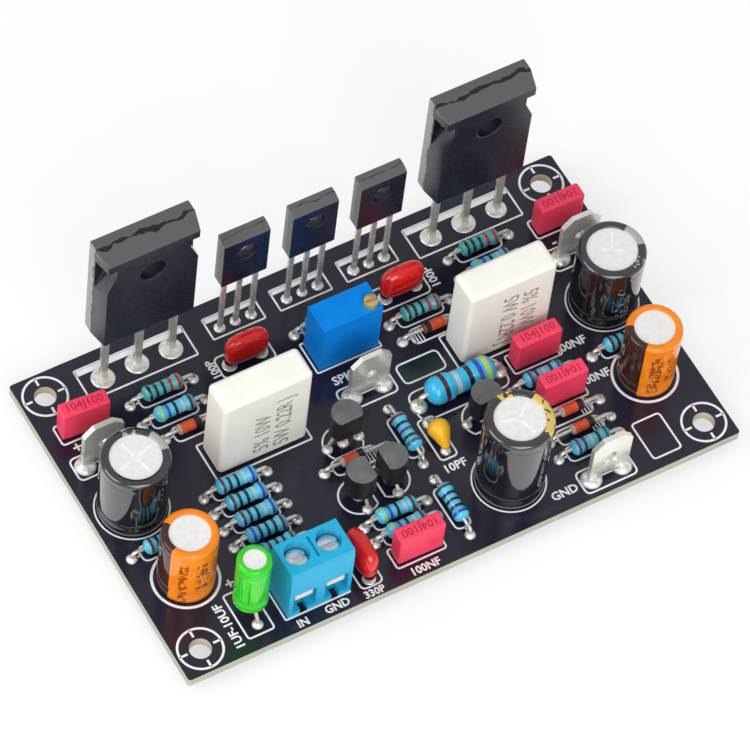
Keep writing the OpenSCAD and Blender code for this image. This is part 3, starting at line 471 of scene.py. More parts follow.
class Tree:
    """The node tree of one material, with short calls for the nodes that finishes share."""

    def __init__(self, name: str) -> None:
        """Starts a material with a Principled shader."""
        self.material = bpy.data.materials.new(name)
        self.material.use_nodes = True
        self.nodes = self.material.node_tree.nodes
        self.shader = self.nodes["Principled BSDF"]

    def link(self, source: Socket, target: Socket) -> None:
        """Joins two sockets."""
        self.material.node_tree.links.new(source, target)

    def feed(self, target: Socket, value: object) -> None:
        """Sets a socket from a number or colour, or joins it to another socket."""
        if isinstance(value, Socket):
            self.link(value, target)
        elif isinstance(value, tuple) and len(value) == 3 and len(target.default_value) == 4:
            target.default_value = (*value, 1.0)
        else:
            target.default_value = value

    def place(self) -> Socket:
        """Object coordinates, in metres."""
        return self.nodes.new("ShaderNodeTexCoord").outputs["Object"]

    def noise(self, per_mm: float, detail: float = 3.0, stretch: Place = (1, 1, 1)) -> Socket:
        """Noise from 0 to 1 with so many features a millimetre, squeezed along each axis by stretch."""
        mapping = self.nodes.new("ShaderNodeMapping")
        fill(mapping, {"Scale": stretch})
        self.link(self.place(), mapping.inputs["Vector"])
        node = self.nodes.new("ShaderNodeTexNoise")
        fill(node, {"Scale": per_mm / MM, "Detail": detail})
        self.link(mapping.outputs["Vector"], node.inputs["Vector"])
        return node.outputs["Fac"]

    def math(self, work: str, a: object, b: object = 0.0) -> Socket:
        """One step of arithmetic on numbers or sockets."""
        node = self.nodes.new("ShaderNodeMath")
        node.operation = work
        self.feed(node.inputs[0], a)
        self.feed(node.inputs[1], b)
        return node.outputs[0]

    def between(self, value: Socket, low: float, high: float) -> Socket:
        """1 where a value lies between two limits, else 0."""
        above, below = self.math("GREATER_THAN", value, low), self.math("LESS_THAN", value, high)
        return self.math("MULTIPLY", above, below)

    def ramp(self, value: object, low: float, high: float, to: Spot = (0.0, 1.0)) -> Socket:
        """A value carried from one range to another, held at the ends."""
        node = self.nodes.new("ShaderNodeMapRange")
        self.feed(node.inputs["Value"], value)
        fill(node, {"From Min": low, "From Max": high, "To Min": to[0], "To Max": to[1]})
        return node.outputs["Result"]

    def mix(self, share: object, a: object, b: object, blend: str = "MIX") -> Socket:
        """A colour from two, blended by a share from 0 to 1."""
        node = self.nodes.new("ShaderNodeMix")
        node.data_type = "RGBA"
        node.blend_type = blend
        for number, value in zip((0, 6, 7), (share, a, b)):
            self.feed(node.inputs[number], value)
        return node.outputs[2]

    def axes(self) -> tuple[Socket, ...]:
        """X, Y and Z of the Object coordinates."""
        node = self.nodes.new("ShaderNodeSeparateXYZ")
        self.link(self.place(), node.inputs[0])
        return tuple(node.outputs[:3])


@dataclass(frozen=True)
class Finish:
    """A surface of two close colours that drift into each other, with fine grain in gloss and height."""

    name: str
    slot: str
    colour: Colour
    shade: Colour
    drift: float = 0.35
    grain: float = 6.0
    rough: Spot = (0.35, 0.5)
    bump: float = 0.06
    metal: float = 0.0
    coat: float = 0.0
    specular: float = 0.5
    stretch: Place = (1, 1, 1)
    painted: bool = False

    def tint(self, tree: Tree) -> Socket:
        """Colour of the surface: the point's own paint where it has one, drifting towards the shade."""
        share = tree.ramp(tree.noise(self.drift, DRIFT_DETAIL, self.stretch), *DRIFT_RANGE)
        colour = tree.mix(share, self.colour, self.shade)
        if not self.painted:
            return colour
        paint = tree.nodes.new("ShaderNodeAttribute")
        paint.attribute_name = "paint"
        return tree.mix(1.0, paint.outputs["Color"], colour, "MULTIPLY")

    def material(self) -> bpy.types.Material:
        """The finish as a Blender material, made once."""
        name = f"{self.name}_finish"
        known = bpy.data.materials.get(name)
        if known:
            return known
        tree = Tree(name)
        sockets = tree.shader.inputs
        tree.link(self.tint(tree), sockets["Base Color"])
        grain = tree.noise(self.grain, GRAIN_DETAIL, self.stretch)
        tree.link(tree.ramp(grain, *GRAIN_RANGE, self.rough), sockets["Roughness"])
        bump = tree.nodes.new("ShaderNodeBump")
        fill(bump, {"Strength": self.bump, "Distance": BUMP_DEPTH * MM})
        tree.link(grain, bump.inputs["Height"])
        tree.link(bump.outputs["Normal"], sockets["Normal"])
        fill(tree.shader, {
            "Metallic": self.metal, "Specular IOR Level": self.specular, "Coat Weight": self.coat,
            "Coat Roughness": COAT_ROUGH,
        })
        return tree.material


@dataclass(frozen=True)
class MouldedFinish(Finish):
    """A moulded body: a dark parting line, a paler top, and a pale strip behind the line on the sides.

    The paler top is painted light: it stands for the overhead light falling on the top faces. The seam is the
    line's depth from the body's back, and the crown is how far down the painted top light reaches.
    """

    node: str = ""
    seam: float = 1.9
    line: Colour = (0.006, 0.006, 0.009)
    line_width: Spot = (0.02, 0.5)
    # crown and its colour are painted light: a paler top for the overhead light on the top faces
    crown: float = 0.98
    painted_crown_light_colour: Colour = (0.088, 0.088, 0.092)
    side_colour: Colour = (0.24, 0.24, 0.23)
    margin: float = 0.12
    wander: float = 0.35
    wander_per_mm: float = 0.35
    width_per_mm: float = 0.45

    def tint(self, tree: Tree) -> Socket:
        """The moulding's colour, its painted top light, its side strips and then the wandering line."""
        low, high = box_mm(self.node)
        seam = float(high[1]) - self.seam
        x, y, z = tree.axes()
        aside = tree.math("ABSOLUTE", tree.math("SUBTRACT", x, float(low[0] + high[0]) / 2 * MM))
        on_side = tree.math("GREATER_THAN", aside, (float(high[0] - low[0]) / 2 - self.margin) * MM)
        behind = tree.math("GREATER_THAN", y, (seam + self.margin) * MM)
        # painted light: the top faces are made paler, for the overhead light on them
        in_painted_crown_light = tree.math("GREATER_THAN", z, (float(high[2]) - self.crown) * MM)
        colour = tree.mix(in_painted_crown_light, super().tint(tree), self.painted_crown_light_colour)
        colour = tree.mix(tree.math("MULTIPLY", on_side, behind), colour, self.side_colour)
        reach = self.wander * MM
        wander = tree.ramp(tree.noise(self.wander_per_mm, 2.0), *GRAIN_RANGE, (-reach, reach))
        away = tree.math("ABSOLUTE", tree.math("ADD", tree.math("SUBTRACT", y, seam * MM), wander))
        widths = tuple(w * MM for w in self.line_width)
        width = tree.ramp(tree.noise(self.width_per_mm), *LAYER_RANGE, widths)
        return tree.mix(tree.math("LESS_THAN", away, width), colour, self.line)


@dataclass(frozen=True)
class Patch:
    """A field printed on a sleeve: its direction, half its angle, its span from the top, and its colour."""

    facing: float
    half_angle: float
    span: Spot
    colour: Colour
    broken: float = 0.0


@dataclass(frozen=True)
class SleeveFinish(Finish):
    """A glossy sleeve round an upright can, printed with fields that are plain or broken into marks."""

    grain: float = 1.2
    rough: Spot = (0.05, 0.11)
    bump: float = 0.03
    node: str = ""
    patches: tuple[Patch, ...] = ()
    marks_per_mm: float = 1.5

    def tint(self, tree: Tree) -> Socket:
        """Sleeve colour, with each field laid over it in turn."""
        colour = super().tint(tree)
        for patch in self.patches:
            colour = tree.mix(self.field(tree, patch), colour, patch.colour)
        return colour

    def field(self, tree: Tree, patch: Patch) -> Socket:
        """1 inside a field: its angle about the axis and its height are within the limits.

        Args:
            tree: the material's nodes.
            patch: the field.

        Returns:
            The socket with the field's share.
        """
        low, high = box_mm(self.node)
        x, y, z = tree.axes()
        c, s = math.cos(math.radians(patch.facing)), math.sin(math.radians(patch.facing))
        dx = tree.math("SUBTRACT", x, float(low[0] + high[0]) / 2 * MM)
        dy = tree.math("SUBTRACT", y, float(low[1] + high[1]) / 2 * MM)
        toward = tree.math("ADD", tree.math("MULTIPLY", dx, c), tree.math("MULTIPLY", dy, s))
        aside = tree.math("ADD", tree.math("MULTIPLY", dx, -s), tree.math("MULTIPLY", dy, c))
        angle = tree.math("ABSOLUTE", tree.math("ARCTAN2", aside, toward))
        tall = tree.between(z, *[(float(high[2]) + end) * MM for end in patch.span])
        inside = tree.math("MULTIPLY", tree.math("LESS_THAN", angle, math.radians(patch.half_angle)), tall)
        if not patch.broken:
            return inside
        marks = tree.math("GREATER_THAN", tree.noise(self.marks_per_mm, 1.0), patch.broken)
        return tree.math("MULTIPLY", inside, marks)


@dataclass(frozen=True)
class EdgeFinish(Finish):
    """The sawn edge of the board: thin level layers of cloth in resin."""

    layers_per_mm: float = 0.5
    flatten: Place = (0.4, 0.4, 9.0)

    def tint(self, tree: Tree) -> Socket:
        """Two pale colours in level layers, broken up along the edge."""
        layers = tree.noise(self.layers_per_mm, DRIFT_DETAIL, self.flatten)
        return tree.mix(tree.ramp(layers, *LAYER_RANGE), self.colour, self.shade)


@dataclass(frozen=True)
class DippedFinish(Finish):
    """Dipped resin, darker towards the board and full colour higher up."""

    foot_colour: Colour = (0.11, 0.003, 0.014)
    rise: Spot = (0.9, 3.2)

    def tint(self, tree: Tree) -> Socket:
        """The resin's colour, darkened between two heights above the board."""
        thin = tree.ramp(tree.axes()[2], (DECK + self.rise[0]) * MM, (DECK + self.rise[1]) * MM, (1.0, 0.0))
        return tree.mix(thin, super().tint(tree), self.foot_colour)


MASK = Finish("solder_mask", "solder_mask", (0.0085, 0.0080, 0.021), (0.0145, 0.0135, 0.029), drift=0.06,
              grain=1.2, rough=(0.14, 0.24), bump=0.03)
TRACE = replace(MASK, name="masked_copper", colour=(0.0115, 0.0108, 0.025), shade=(0.0165, 0.0155, 0.032),
                drift=0.1)
LAMINATE = EdgeFinish("laminate_edge", "solder_mask", (0.50, 0.50, 0.40), (0.36, 0.36, 0.28),
                      rough=(0.5, 0.75), bump=0.2)
HOLE_WALL = Finish("drilled_laminate", "solder_mask", (0.62, 0.55, 0.42), (0.45, 0.40, 0.30),
                   rough=(0.5, 0.7))
INK = Finish("white_ink", "solder_mask", (0.86, 0.86, 0.87), (0.74, 0.74, 0.76), drift=0.5,
             rough=(0.45, 0.6), bump=0.03)
GLAZE = Finish("dark_field", "solder_mask", (0.006, 0.016, 0.018), (0.010, 0.026, 0.028), drift=0.3,
               grain=1.0, rough=(0.08, 0.16), bump=0.03)
SOLDER = Finish("tin_solder", "solder", (0.94, 0.93, 0.88), (0.66, 0.65, 0.60), drift=1.6, grain=2.4,
                rough=(0.14, 0.34), bump=0.4, metal=0.5)
TINNED = Finish("tinned_wire", "tinned_wire", (0.74, 0.73, 0.68), (0.56, 0.55, 0.51), drift=0.9, grain=5.0,
                rough=(0.16, 0.32), bump=0.12, metal=0.6)
BAR_TIN = Finish("bright_tin", "tinned_wire", (0.84, 0.80, 0.75), (0.70, 0.66, 0.61), drift=0.6, grain=5.0,
                 rough=(0.3, 0.45), bump=0.1, metal=0.1)
TAB_TIN = Finish("tinned_blade", "tinned_brass", (0.95, 0.93, 0.86), (0.85, 0.83, 0.77), drift=0.25,
                 grain=4.0, rough=(0.16, 0.28), bump=0.04, metal=0.6)
NICKEL = Finish("nickel_steel", "plated_steel", (0.94, 0.94, 0.92), (0.66, 0.66, 0.65), drift=0.9,
                grain=2.2, rough=(0.08, 0.24), bump=0.6, metal=0.8, stretch=(0.35, 1.6, 1))
BRASS = Finish("brass", "brass", (0.80, 0.58, 0.24), (0.60, 0.40, 0.14), drift=0.8, grain=9.0,
               rough=(0.2, 0.38), bump=0.1, metal=0.6)
ALUMINIUM = Finish("pressed_aluminium", "can_aluminium", (0.80, 0.80, 0.78), (0.73, 0.73, 0.715), drift=1.2,
                   grain=5.0, rough=(0.4, 0.6), bump=0.3, metal=0.1)
SCORE = Finish("score_line", "can_aluminium", (0.87, 0.87, 0.86), (0.80, 0.80, 0.79), drift=1.4)
EPOXY = Finish("moulded_epoxy", "black_epoxy", (1.0, 1.0, 1.0), (1.5, 1.5, 1.5), drift=0.5, grain=9.0,
               rough=(0.28, 0.42), bump=0.2, painted=True)
# Both moulded finishes carry a painted top light: a paler top for the overhead light.
POWER_EPOXY = MouldedFinish("power_epoxy", "black_epoxy", (0.009, 0.009, 0.019), (0.014, 0.014, 0.027),
                            drift=0.3, grain=8.0, rough=(0.2, 0.32), bump=0.16)
DRIVER_EPOXY = MouldedFinish("driver_epoxy", "black_epoxy", (0.008, 0.008, 0.020), (0.013, 0.013, 0.029),
                             drift=0.3, grain=8.0, rough=(0.18, 0.3), bump=0.16, seam=1.0, crown=0.58,
                             line=(0.024, 0.018, 0.018), line_width=(0.01, 0.1),
                             painted_crown_light_colour=(0.10, 0.10, 0.103), side_colour=(0.11, 0.11, 0.11))
CERAMIC = Finish("white_cement", "white_ceramic", (0.90, 0.875, 0.80), (0.86, 0.835, 0.76), drift=0.2,
                 grain=7.0, rough=(0.6, 0.8), bump=0.25)
CEMENT_INK = Finish("grey_ink", "white_ceramic", (0.24, 0.23, 0.21), (0.46, 0.45, 0.41), drift=1.6,
                    rough=(0.6, 0.8))
CRIMSON = Finish("crimson_box", "crimson_plastic", (0.92, 0.048, 0.125), (0.84, 0.040, 0.105), drift=0.2,
                 rough=(0.32, 0.46), bump=0.14)
CRIMSON_MARK = Finish("crimson_mark", "crimson_plastic", (0.34, 0.006, 0.026), (0.24, 0.004, 0.018),
                      drift=1.5, rough=(0.4, 0.6))
RED_RESIN = DippedFinish("dipped_resin", "red_resin", (0.74, 0.008, 0.008), (0.60, 0.006, 0.007), grain=1.5,
                         rough=(0.08, 0.16), bump=0.1, coat=0.4)
AMBER_RESIN = Finish("amber_resin", "yellow_resin", (0.90, 0.48, 0.012), (0.80, 0.40, 0.010), drift=0.3,
                     grain=1.5, rough=(0.25, 0.38), bump=0.08)
TRIMMER_BLUE = Finish("trimmer_blue", "trimmer_blue", (0.001, 0.25, 0.80), (0.001, 0.215, 0.74), drift=0.5,
                      grain=8.0, rough=(0.36, 0.5), bump=0.18, specular=0.12)
TERMINAL_BLUE = Finish("terminal_blue", "terminal_blue", (0.014, 0.40, 0.66), (0.012, 0.37, 0.61),
                       drift=0.3, grain=8.0, rough=(0.26, 0.4), bump=0.14, specular=0.3)
NYLON = Finish("wheel_nylon", "nylon", (0.82, 0.81, 0.76), (0.72, 0.71, 0.66), rough=(0.4, 0.6))
LACQUER = Finish("band_lacquer", "resistor_blue", (1.0, 1.0, 1.0), (0.86, 0.88, 0.90), drift=0.6, grain=3.0,
                 rough=(0.18, 0.3), bump=0.08, coat=0.4, painted=True)
TEAL_LACQUER = replace(LACQUER, name="teal_lacquer", slot="resistor_teal")
DIODE_GLASS = Finish("diode_glass", "amber_glass", (1.0, 1.0, 1.0), (0.70, 0.66, 0.64), drift=1.4,
                     grain=3.0, rough=(0.06, 0.14), bump=0.05, painted=True)


# Pieces


FLAT_CREASE = 30.0
BOX_CREASE = 40.0
ROUND_CREASE = 60.0
SMOOTH_CREASE = 70.0


@dataclass
class Piece:
    """One finished object: its surface, its finishes, its body and the CAD nodes that it stands for."""

    name: str
    surface: Surface
    finishes: tuple[Finish, ...]
    nodes: tuple[str, ...] = ()
    body: str = BOARD
    crease: float = 38.0

    def make(self) -> bpy.types.Object:
        """Puts the surface into a welded, smooth mesh at the origin, dresses it and hangs it on its body."""
        mesh = bpy.data.meshes.new(self.name)
        faces = self.surface.quads.tolist() + [list(c) for c in self.surface.caps]
        mesh.from_pydata((self.surface.points * MM).tolist(), [], faces)
        mesh.polygons.foreach_set("material_index", self.surface.finish_numbers())
        if self.surface.paint is not None:
            paint = mesh.attributes.new("paint", "FLOAT_COLOR", "POINT")
            rgba = np.ones((len(self.surface.points), 4))
            rgba[:, :3] = self.surface.paint
            paint.data.foreach_set("color", rgba.ravel())
        weld(mesh)
        return dress(mesh, self)


def weld(mesh: bpy.types.Mesh, gap: float = 0.002) -> None:
    """Merges points nearer than gap millimetres, at a mesh's seams and poles, and turns its faces out."""
    shape = bmesh.new()
    shape.from_mesh(mesh)
    bmesh.ops.remove_doubles(shape, verts=shape.verts, dist=gap * MM)
    bmesh.ops.dissolve_degenerate(shape, edges=shape.edges, dist=gap * MM)
    bmesh.ops.recalc_face_normals(shape, faces=shape.faces)
    shape.to_mesh(mesh)
    shape.free()


def dress(mesh: bpy.types.Mesh, piece: Piece) -> bpy.types.Object:
    """Makes an object of a mesh and gives it its finishes, its shading and its place on a body.

    Args:
        mesh: the object's mesh.
        piece: what the object is.

    Returns:
        The object.
    """
    item = in_scene(piece.name, mesh)
    for finish in piece.finishes:
        mesh.materials.append(finish.material())
    mesh.shade_smooth()
    mesh.set_sharp_from_angle(angle=math.radians(piece.crease))
    even = item.modifiers.new("even_shading", "WEIGHTED_NORMAL")
    even.keep_sharp = True
    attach(item, piece.body)
    if piece.nodes:
        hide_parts(*piece.nodes)
    return item


@dataclass
class Moulding:
    """A CAD node with its edges broken: a merged copy with a fine bevel. The angles are in degrees."""

    node: str
    finish: Finish
    bevel: float = 0.15
    body: str = BOARD
    steps: int = 2
    flat: float = 1.0
    edge: float = 28.0
    crease: float = 21.0

    def make(self) -> bpy.types.Object:
        """Copies the node's mesh, joins its triangles into flat faces and bevels the edges that are left."""
        name = f"{self.node}_finished"
        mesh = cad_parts[self.node].data.copy()
        mesh.name = name
        mesh.materials.clear()
        shape = bmesh.new()
        shape.from_mesh(mesh)
        bmesh.ops.remove_doubles(shape, verts=shape.verts, dist=0.001 * MM)
        bmesh.ops.dissolve_limit(
            shape, angle_limit=math.radians(self.flat), verts=shape.verts, edges=shape.edges,
            use_dissolve_boundaries=False,
        )
        limit = math.radians(self.edge)
        edges = [e for e in shape.edges if len(e.link_faces) == 2 and e.calc_face_angle(0) > limit]
        bmesh.ops.bevel(
            shape, geom=edges, offset=self.bevel * MM, segments=self.steps, profile=0.5, affect="EDGES",
            clamp_overlap=True,
        )
        bmesh.ops.triangulate(shape, faces=[f for f in shape.faces if len(f.verts) > 4])
        shape.to_mesh(mesh)
        shape.free()
        surface = Surface(np.zeros((0, 3)))
        return dress(mesh, Piece(name, surface, (self.finish,), (self.node,), self.body, self.crease))


# The board, its print and its solder


@dataclass
class CircuitBoard:
    """The drilled board: a plate with slightly round corners and four mounting holes."""

    corner_r: float = 0.5
    hole_r: float = 1.6
    hole_inset: float = 3.81
    turns: int = 48

    def build(self) -> list[Piece]:
        """The plate: flat triangles between outline and holes, above and below, and straight walls."""
        low, high = box_mm("circuit_board")
        loops = [rounded(corners_of((low[0], high[0]), (low[1], high[1])), self.corner_r)]
        t = np.linspace(0, 2 * math.pi, self.turns, endpoint=False)
        middles = [
            np.array([sx * (high[0] - self.hole_inset), sy * (high[1] - self.hole_inset)])
            for sx in (-1, 1) for sy in (-1, 1)
        ]
        loops += [m + self.hole_r * np.stack([np.cos(t), np.sin(t)], 1) for m in middles]
        flat = np.concatenate(loops)
        starts = np.cumsum([0] + [len(loop) for loop in loops])
        edges = [
            (s + i, s + (i + 1) % len(loop)) for loop, s in zip(loops, starts) for i in range(len(loop))
        ]
        found = delaunay_2d_cdt([tuple(p) for p in flat], edges, [], 1, 1e-7)
        place = np.array([tuple(v) for v in found[0]])
        tris = np.array(found[2])
        centre = place[tris].mean(1)
        inside = np.min([np.linalg.norm(centre - m, axis=1) for m in middles], 0) > self.hole_r
        tris = tris[inside]
        count = len(place)
        top = np.column_stack([place, np.full(count, high[2])])
        under = np.column_stack([place, np.full(count, low[2])])
        faces = [tuple(f) for f in tris] + [tuple(f[::-1] + count) for f in tris]
        plate = Surface(np.concatenate([top, under]), caps=faces)
        walls = [self.wall(loop, low[2], high[2], min(n + 1, 2)) for n, loop in enumerate(loops)]
        return [Piece("board_plate", join([plate, *walls]), (MASK, LAMINATE, HOLE_WALL), ("circuit_board",))]

    def wall(self, loop: np.ndarray, low: float, high: float, finish: int) -> Surface:
        """A straight wall up from a loop of points.

        Args:
            loop: points of the loop.
            low: height of its foot.
            high: height of its top.
            finish: number of its finish.

        Returns:
            The wall, open above and below.
        """
        rings = np.stack([np.column_stack([loop, np.full(len(loop), z)]) for z in (low, high)])
        return Surface(rings.reshape(-1, 3), grid_quads(2, len(loop)), quad_finish=finish)


DARK_FIELD = ((5.85, 12.65), (1.6, 4.95), 0.9)
SINGLE_BOXES = {
    "load resistor": ((4.9, 19.5), (-5.0, 0.1), 1.6),
    "drop capacitor": ((4.05, 6.75), (-11.7, -4.5), 0.7),
    "green capacitor": ((-34, -29.9), (-24.6, -17), 0.5),
    "screw terminal": ((-28.0, -17.8), (-24.3, -16.9), 0.2),
    "trimmer": ((-4.4, 6.0), (8.9, 14.3), 0.2),
    "dark field": DARK_FIELD,
    "bare field": ((31.1, 35.7), (-25, -18.6), 0.6),
}
LABELS = (
    ("+", -40.5, 13.3, 1.7, 0), ("+", -32.1, -15.7, 1.7, 0), ("-", 37.1, 13.2, 1.7, 0),
    ("IN", -26.0, -25.7, 1.2, 0), ("GND", -20.5, -25.5, 1.2, 0), ("GND", 17.0, -24.0, 1.3, 0),
    ("SPK", -1.6, 6.6, 1.4, 0), ("10PF", 5.4, -13.2, 1.3, 0), ("100NF", 30.2, -3.1, 1.3, 0),
    ("100NF", 30.5, -9.4, 1.3, 0), ("100NF", -6.5, -25.6, 1.2, 0), ("330P", -14.8, -25.9, 1.1, 0),
    ("100P", -17.3, 16.1, 1.15, 90), ("100P", 18.3, 15.9, 1.3, 90), ("1UF-10UF", -35.4, -21.6, 1.3, 90),
)


@dataclass
class Print:
    """White ink on the board: outlines, rings and plain labels, each a thin plate."""

    line: float = 0.28
    thick: float = 0.02
    bold: float = 0.05
    mount_line: float = 0.34
    mount_r: Spot = (2.0, 3.2)
    signal_r: float = 2.9
    axial_half: Spot = (3.6, 1.25)
    axial_stub: float = 0.5
    diode_bars: tuple[float, ...] = (1.9, 2.4, 2.9, 3.3)
    diode_bar: Spot = (1.15, 0.2)
    black_ring: Spot = (5.3, 0.24)
    orange_ring: Spot = (4.75, 0.4)
    parts: list[Surface] = field(default_factory=list)

    def path(self, points: np.ndarray, width: float | None = None, closed: bool = False) -> None:
        """Adds a line through points, on the board."""
        self.parts.append(stroke(points, width or self.line, DECK, self.thick, closed))

    def box(self, x: Spot, y: Spot, corner: float) -> None:
        """Adds a box with round corners between two places each way."""
        self.path(rounded(corners_of(x, y), corner, 6), closed=True)

    def about(self, place: Place, wide: Spot, deep: Spot, corner: float) -> None:
        """Adds a box about a place, so far to the left and right of it and to the front and back."""
        x, y = place[:2]
        self.box((x + wide[0], x + wide[1]), (y + deep[0], y + deep[1]), corner)

    def ring(self, x: float, y: float, radius: float, width: float) -> None:
        """Adds a circle."""
        t = np.linspace(0, 2 * math.pi, 72, endpoint=False)
        self.path(np.stack([x + radius * np.cos(t), y + radius * np.sin(t)], 1), width, True)

    def bar(self, a: Spot, b: Spot, width: float) -> None:
        """Adds a straight bar from a to b."""
        self.path(np.linspace(a, b, 3), width)

    def mounting_rings(self) -> None:
        """Rings with four spokes about the mounting holes."""
        inner, outer = self.mount_r
        for x, y in Layout.HOLES:
            self.ring(x, y, outer, self.mount_line)
            for a in np.radians([0, 90, 180, 270]):
                c, s = math.cos(a), math.sin(a)
                self.bar((x + inner * c, y + inner * s), (x + outer * c, y + outer * s), self.mount_line)

    def transistor_outlines(self) -> None:
        """Boxes with a thick back bar under the large transistors, and outlines of the round-backed ones."""
        rows = [(place, (-8.7, 8.5), (-2.5, 2.8), 2.25, 0.95) for place in Layout.POWER]
        rows += [(place, (-4.2, 4.2), (-1.4, 2.3), 1.85, 0.8) for place in Layout.DRIVER]
        for place, wide, deep, back, width in rows:
            self.about(place, wide, deep, 0.2)
            x, y = place[:2]
            self.bar((x + wide[0], y + back), (x + wide[1], y + back), width)
        a = np.radians(np.linspace(-40, 220, 40))
        half_round = self.signal_r * np.stack([np.cos(a), np.sin(a)], 1)
        for x, y, turn in Layout.SIGNAL:
            self.path(half_round @ turning(turn) + np.array([x, y]), closed=True)

    def axial_outlines(self) -> None:
        """Rounded boxes about the axial parts, with a short line to each lead, and bars under the diodes."""
        half_l, half_w = self.axial_half
        outline = rounded(corners_of((-half_l, half_l), (-half_w, half_w)), 1.0, 6)
        stub = np.linspace((half_l, 0), (half_l + self.axial_stub, 0), 3)
        for x, y, turn in Layout.AXIAL:
            self.path(outline @ turning(turn) + np.array([x, y]), closed=True)
            for end in (-1, 1):
                self.path(end * stub @ turning(turn) + np.array([x, y]))
        for (x, y, _), turn in zip(Layout.DIODES, Layout.DIODE_TURNS):
            half, width = self.diode_bar
            for step in self.diode_bars:
                at = x - step if turn else x + step
                self.bar((at, y - half), (at, y + half), width)

    def upright_outlines(self) -> None:
        """Circles about the electrolytic capacitors, and boxes about the other parts and two bare fields."""
        for places, ring in ((Layout.BLACK, self.black_ring), (Layout.ORANGE, self.orange_ring)):
            for x, y, _ in places:
                self.ring(x, y, *ring)
        for place in Layout.FILM:
            self.about(place, (-3.95, 3.95), (-1.7, 1.6), 0.5)
        for place in Layout.DIPPED:
            wide, deep = (4.2, 1.9) if place[2] == 0 else (1.7, 3.7)
            self.about(place, (-wide, wide), (-deep, deep), 0.9)
        for place in Layout.TABS:
            self.about(place, (-4.2, 4.2), (-1.9, 1.9), 0.9)
            x, y = place[:2]
            self.bar((x - 1.3, y), (x + 1.3, y), 0.25)
        for place in Layout.CEMENT:
            self.about(place, (-7.6, 7.6), (-3.2, 3.1), 0.3)
        for x, y, corner in SINGLE_BOXES.values():
            self.box(x, y, corner)

    def labels(self) -> None:
        """Plain functional labels: polarity, in, ground, speaker and capacitor values."""
        for words, x, y, height, turn in LABELS:
            plate = lettering(words, height, self.thick, self.bold)
            self.parts.append(plate.turned(turn).moved(x, y, DECK + self.thick / 2))

    def build(self) -> list[Piece]:
        """All the print as one piece, and the glossy dark field."""
        self.mounting_rings()
        self.transistor_outlines()
        self.axial_outlines()
        self.upright_outlines()
        self.labels()
        x, y, corner = DARK_FIELD
        plate = prism(rounded(corners_of(x, y), corner, 6), DECK - 0.005, DECK + 0.012, 0.002, 1)
        return [
            Piece("board_print", join(self.parts), (INK,), crease=FLAT_CREASE),
            Piece("board_field", plate, (GLAZE,), crease=FLAT_CREASE),
        ]


@dataclass
class Traces:
    """Copper lines under the mask, seen as slightly raised, slightly paler paths."""

    width: float = 1.1
    thick: float = 0.012
    routes: tuple[tuple[Spot, ...], ...] = (
        ((-18.8, -2.1), (-15.5, -2.1), (-13.5, -4.5), (-13.5, -13)),
        ((-18.8, -8), (-15.8, -8), (-14.8, -9), (-14.8, -16)),
        ((-18.8, -13.9), (-16, -13.9), (-12, -16.4), (-11.1, -16.4)),
        ((1.5, -11), (1.5, -12.8), (3.2, -14.4), (6.8, -14.4)),
        ((-3.5, 6.9), (-6, 4.5), (-6, 0.5), (-9.5, -0.6)),
        ((6, -21), (6, -24.6), (13, -25.6), (20, -25.6)),
        ((29, -19), (29.6, -19), (30.2, -18), (30.2, -15), (33.5, -12.5)),
        ((-28.8, -13.9), (-31, -13.9), (-33.6, -13.2)),
        ((29.2, -12.9), (31.2, -12.9), (32.4, -8), (32, -6.3)),
        ((-19, 8.9), (-16, 11), (-16, 13.8), (-15, 15.8)),
        ((18, -2.4), (19.6, -2.4), (20.2, -1.2), (21.6, -2.9)),
        ((8.6, -8.1), (9.8, -6.4), (9.8, -5.4), (6, -4.6)),
    )

    def build(self) -> list[Piece]:
        """Each route is drawn as a flat ribbon just above the board."""
        parts = [stroke(self.eased(r), self.width, DECK, self.thick) for r in self.routes]
        return [Piece("board_traces", join(parts), (TRACE,), crease=FLAT_CREASE)]

    def eased(self, route: tuple[Spot, ...]) -> np.ndarray:
        """The route with points added along it, so that its bends keep their width."""
        p = np.array(route)
        share = np.linspace(0, 1, 5)[:-1][None, :, None]
        fine = p[:-1, None] + share * (p[1:] - p[:-1])[:, None]
        return np.concatenate([fine.reshape(-1, 2), p[-1:]])


def pads(places: list[Place], pitch: float, middle: bool = False) -> list[Place]:
    """Pads of all the parts at some places, each part's own in a row along its direction.

    Args:
        places: the parts.
        pitch: distance between the outer pads of a part.
        middle: whether a part has a third pad at its own place.

    Returns:
        The pads, part by part.
    """
    found = []
    for x, y, turn in places:
        c, s = math.cos(math.radians(turn)), math.sin(math.radians(turn))
        found += [(x + k * c, y + k * s, turn) for k in (-pitch / 2, pitch / 2)]
        found += [(x, y, turn)] if middle else []
    return found


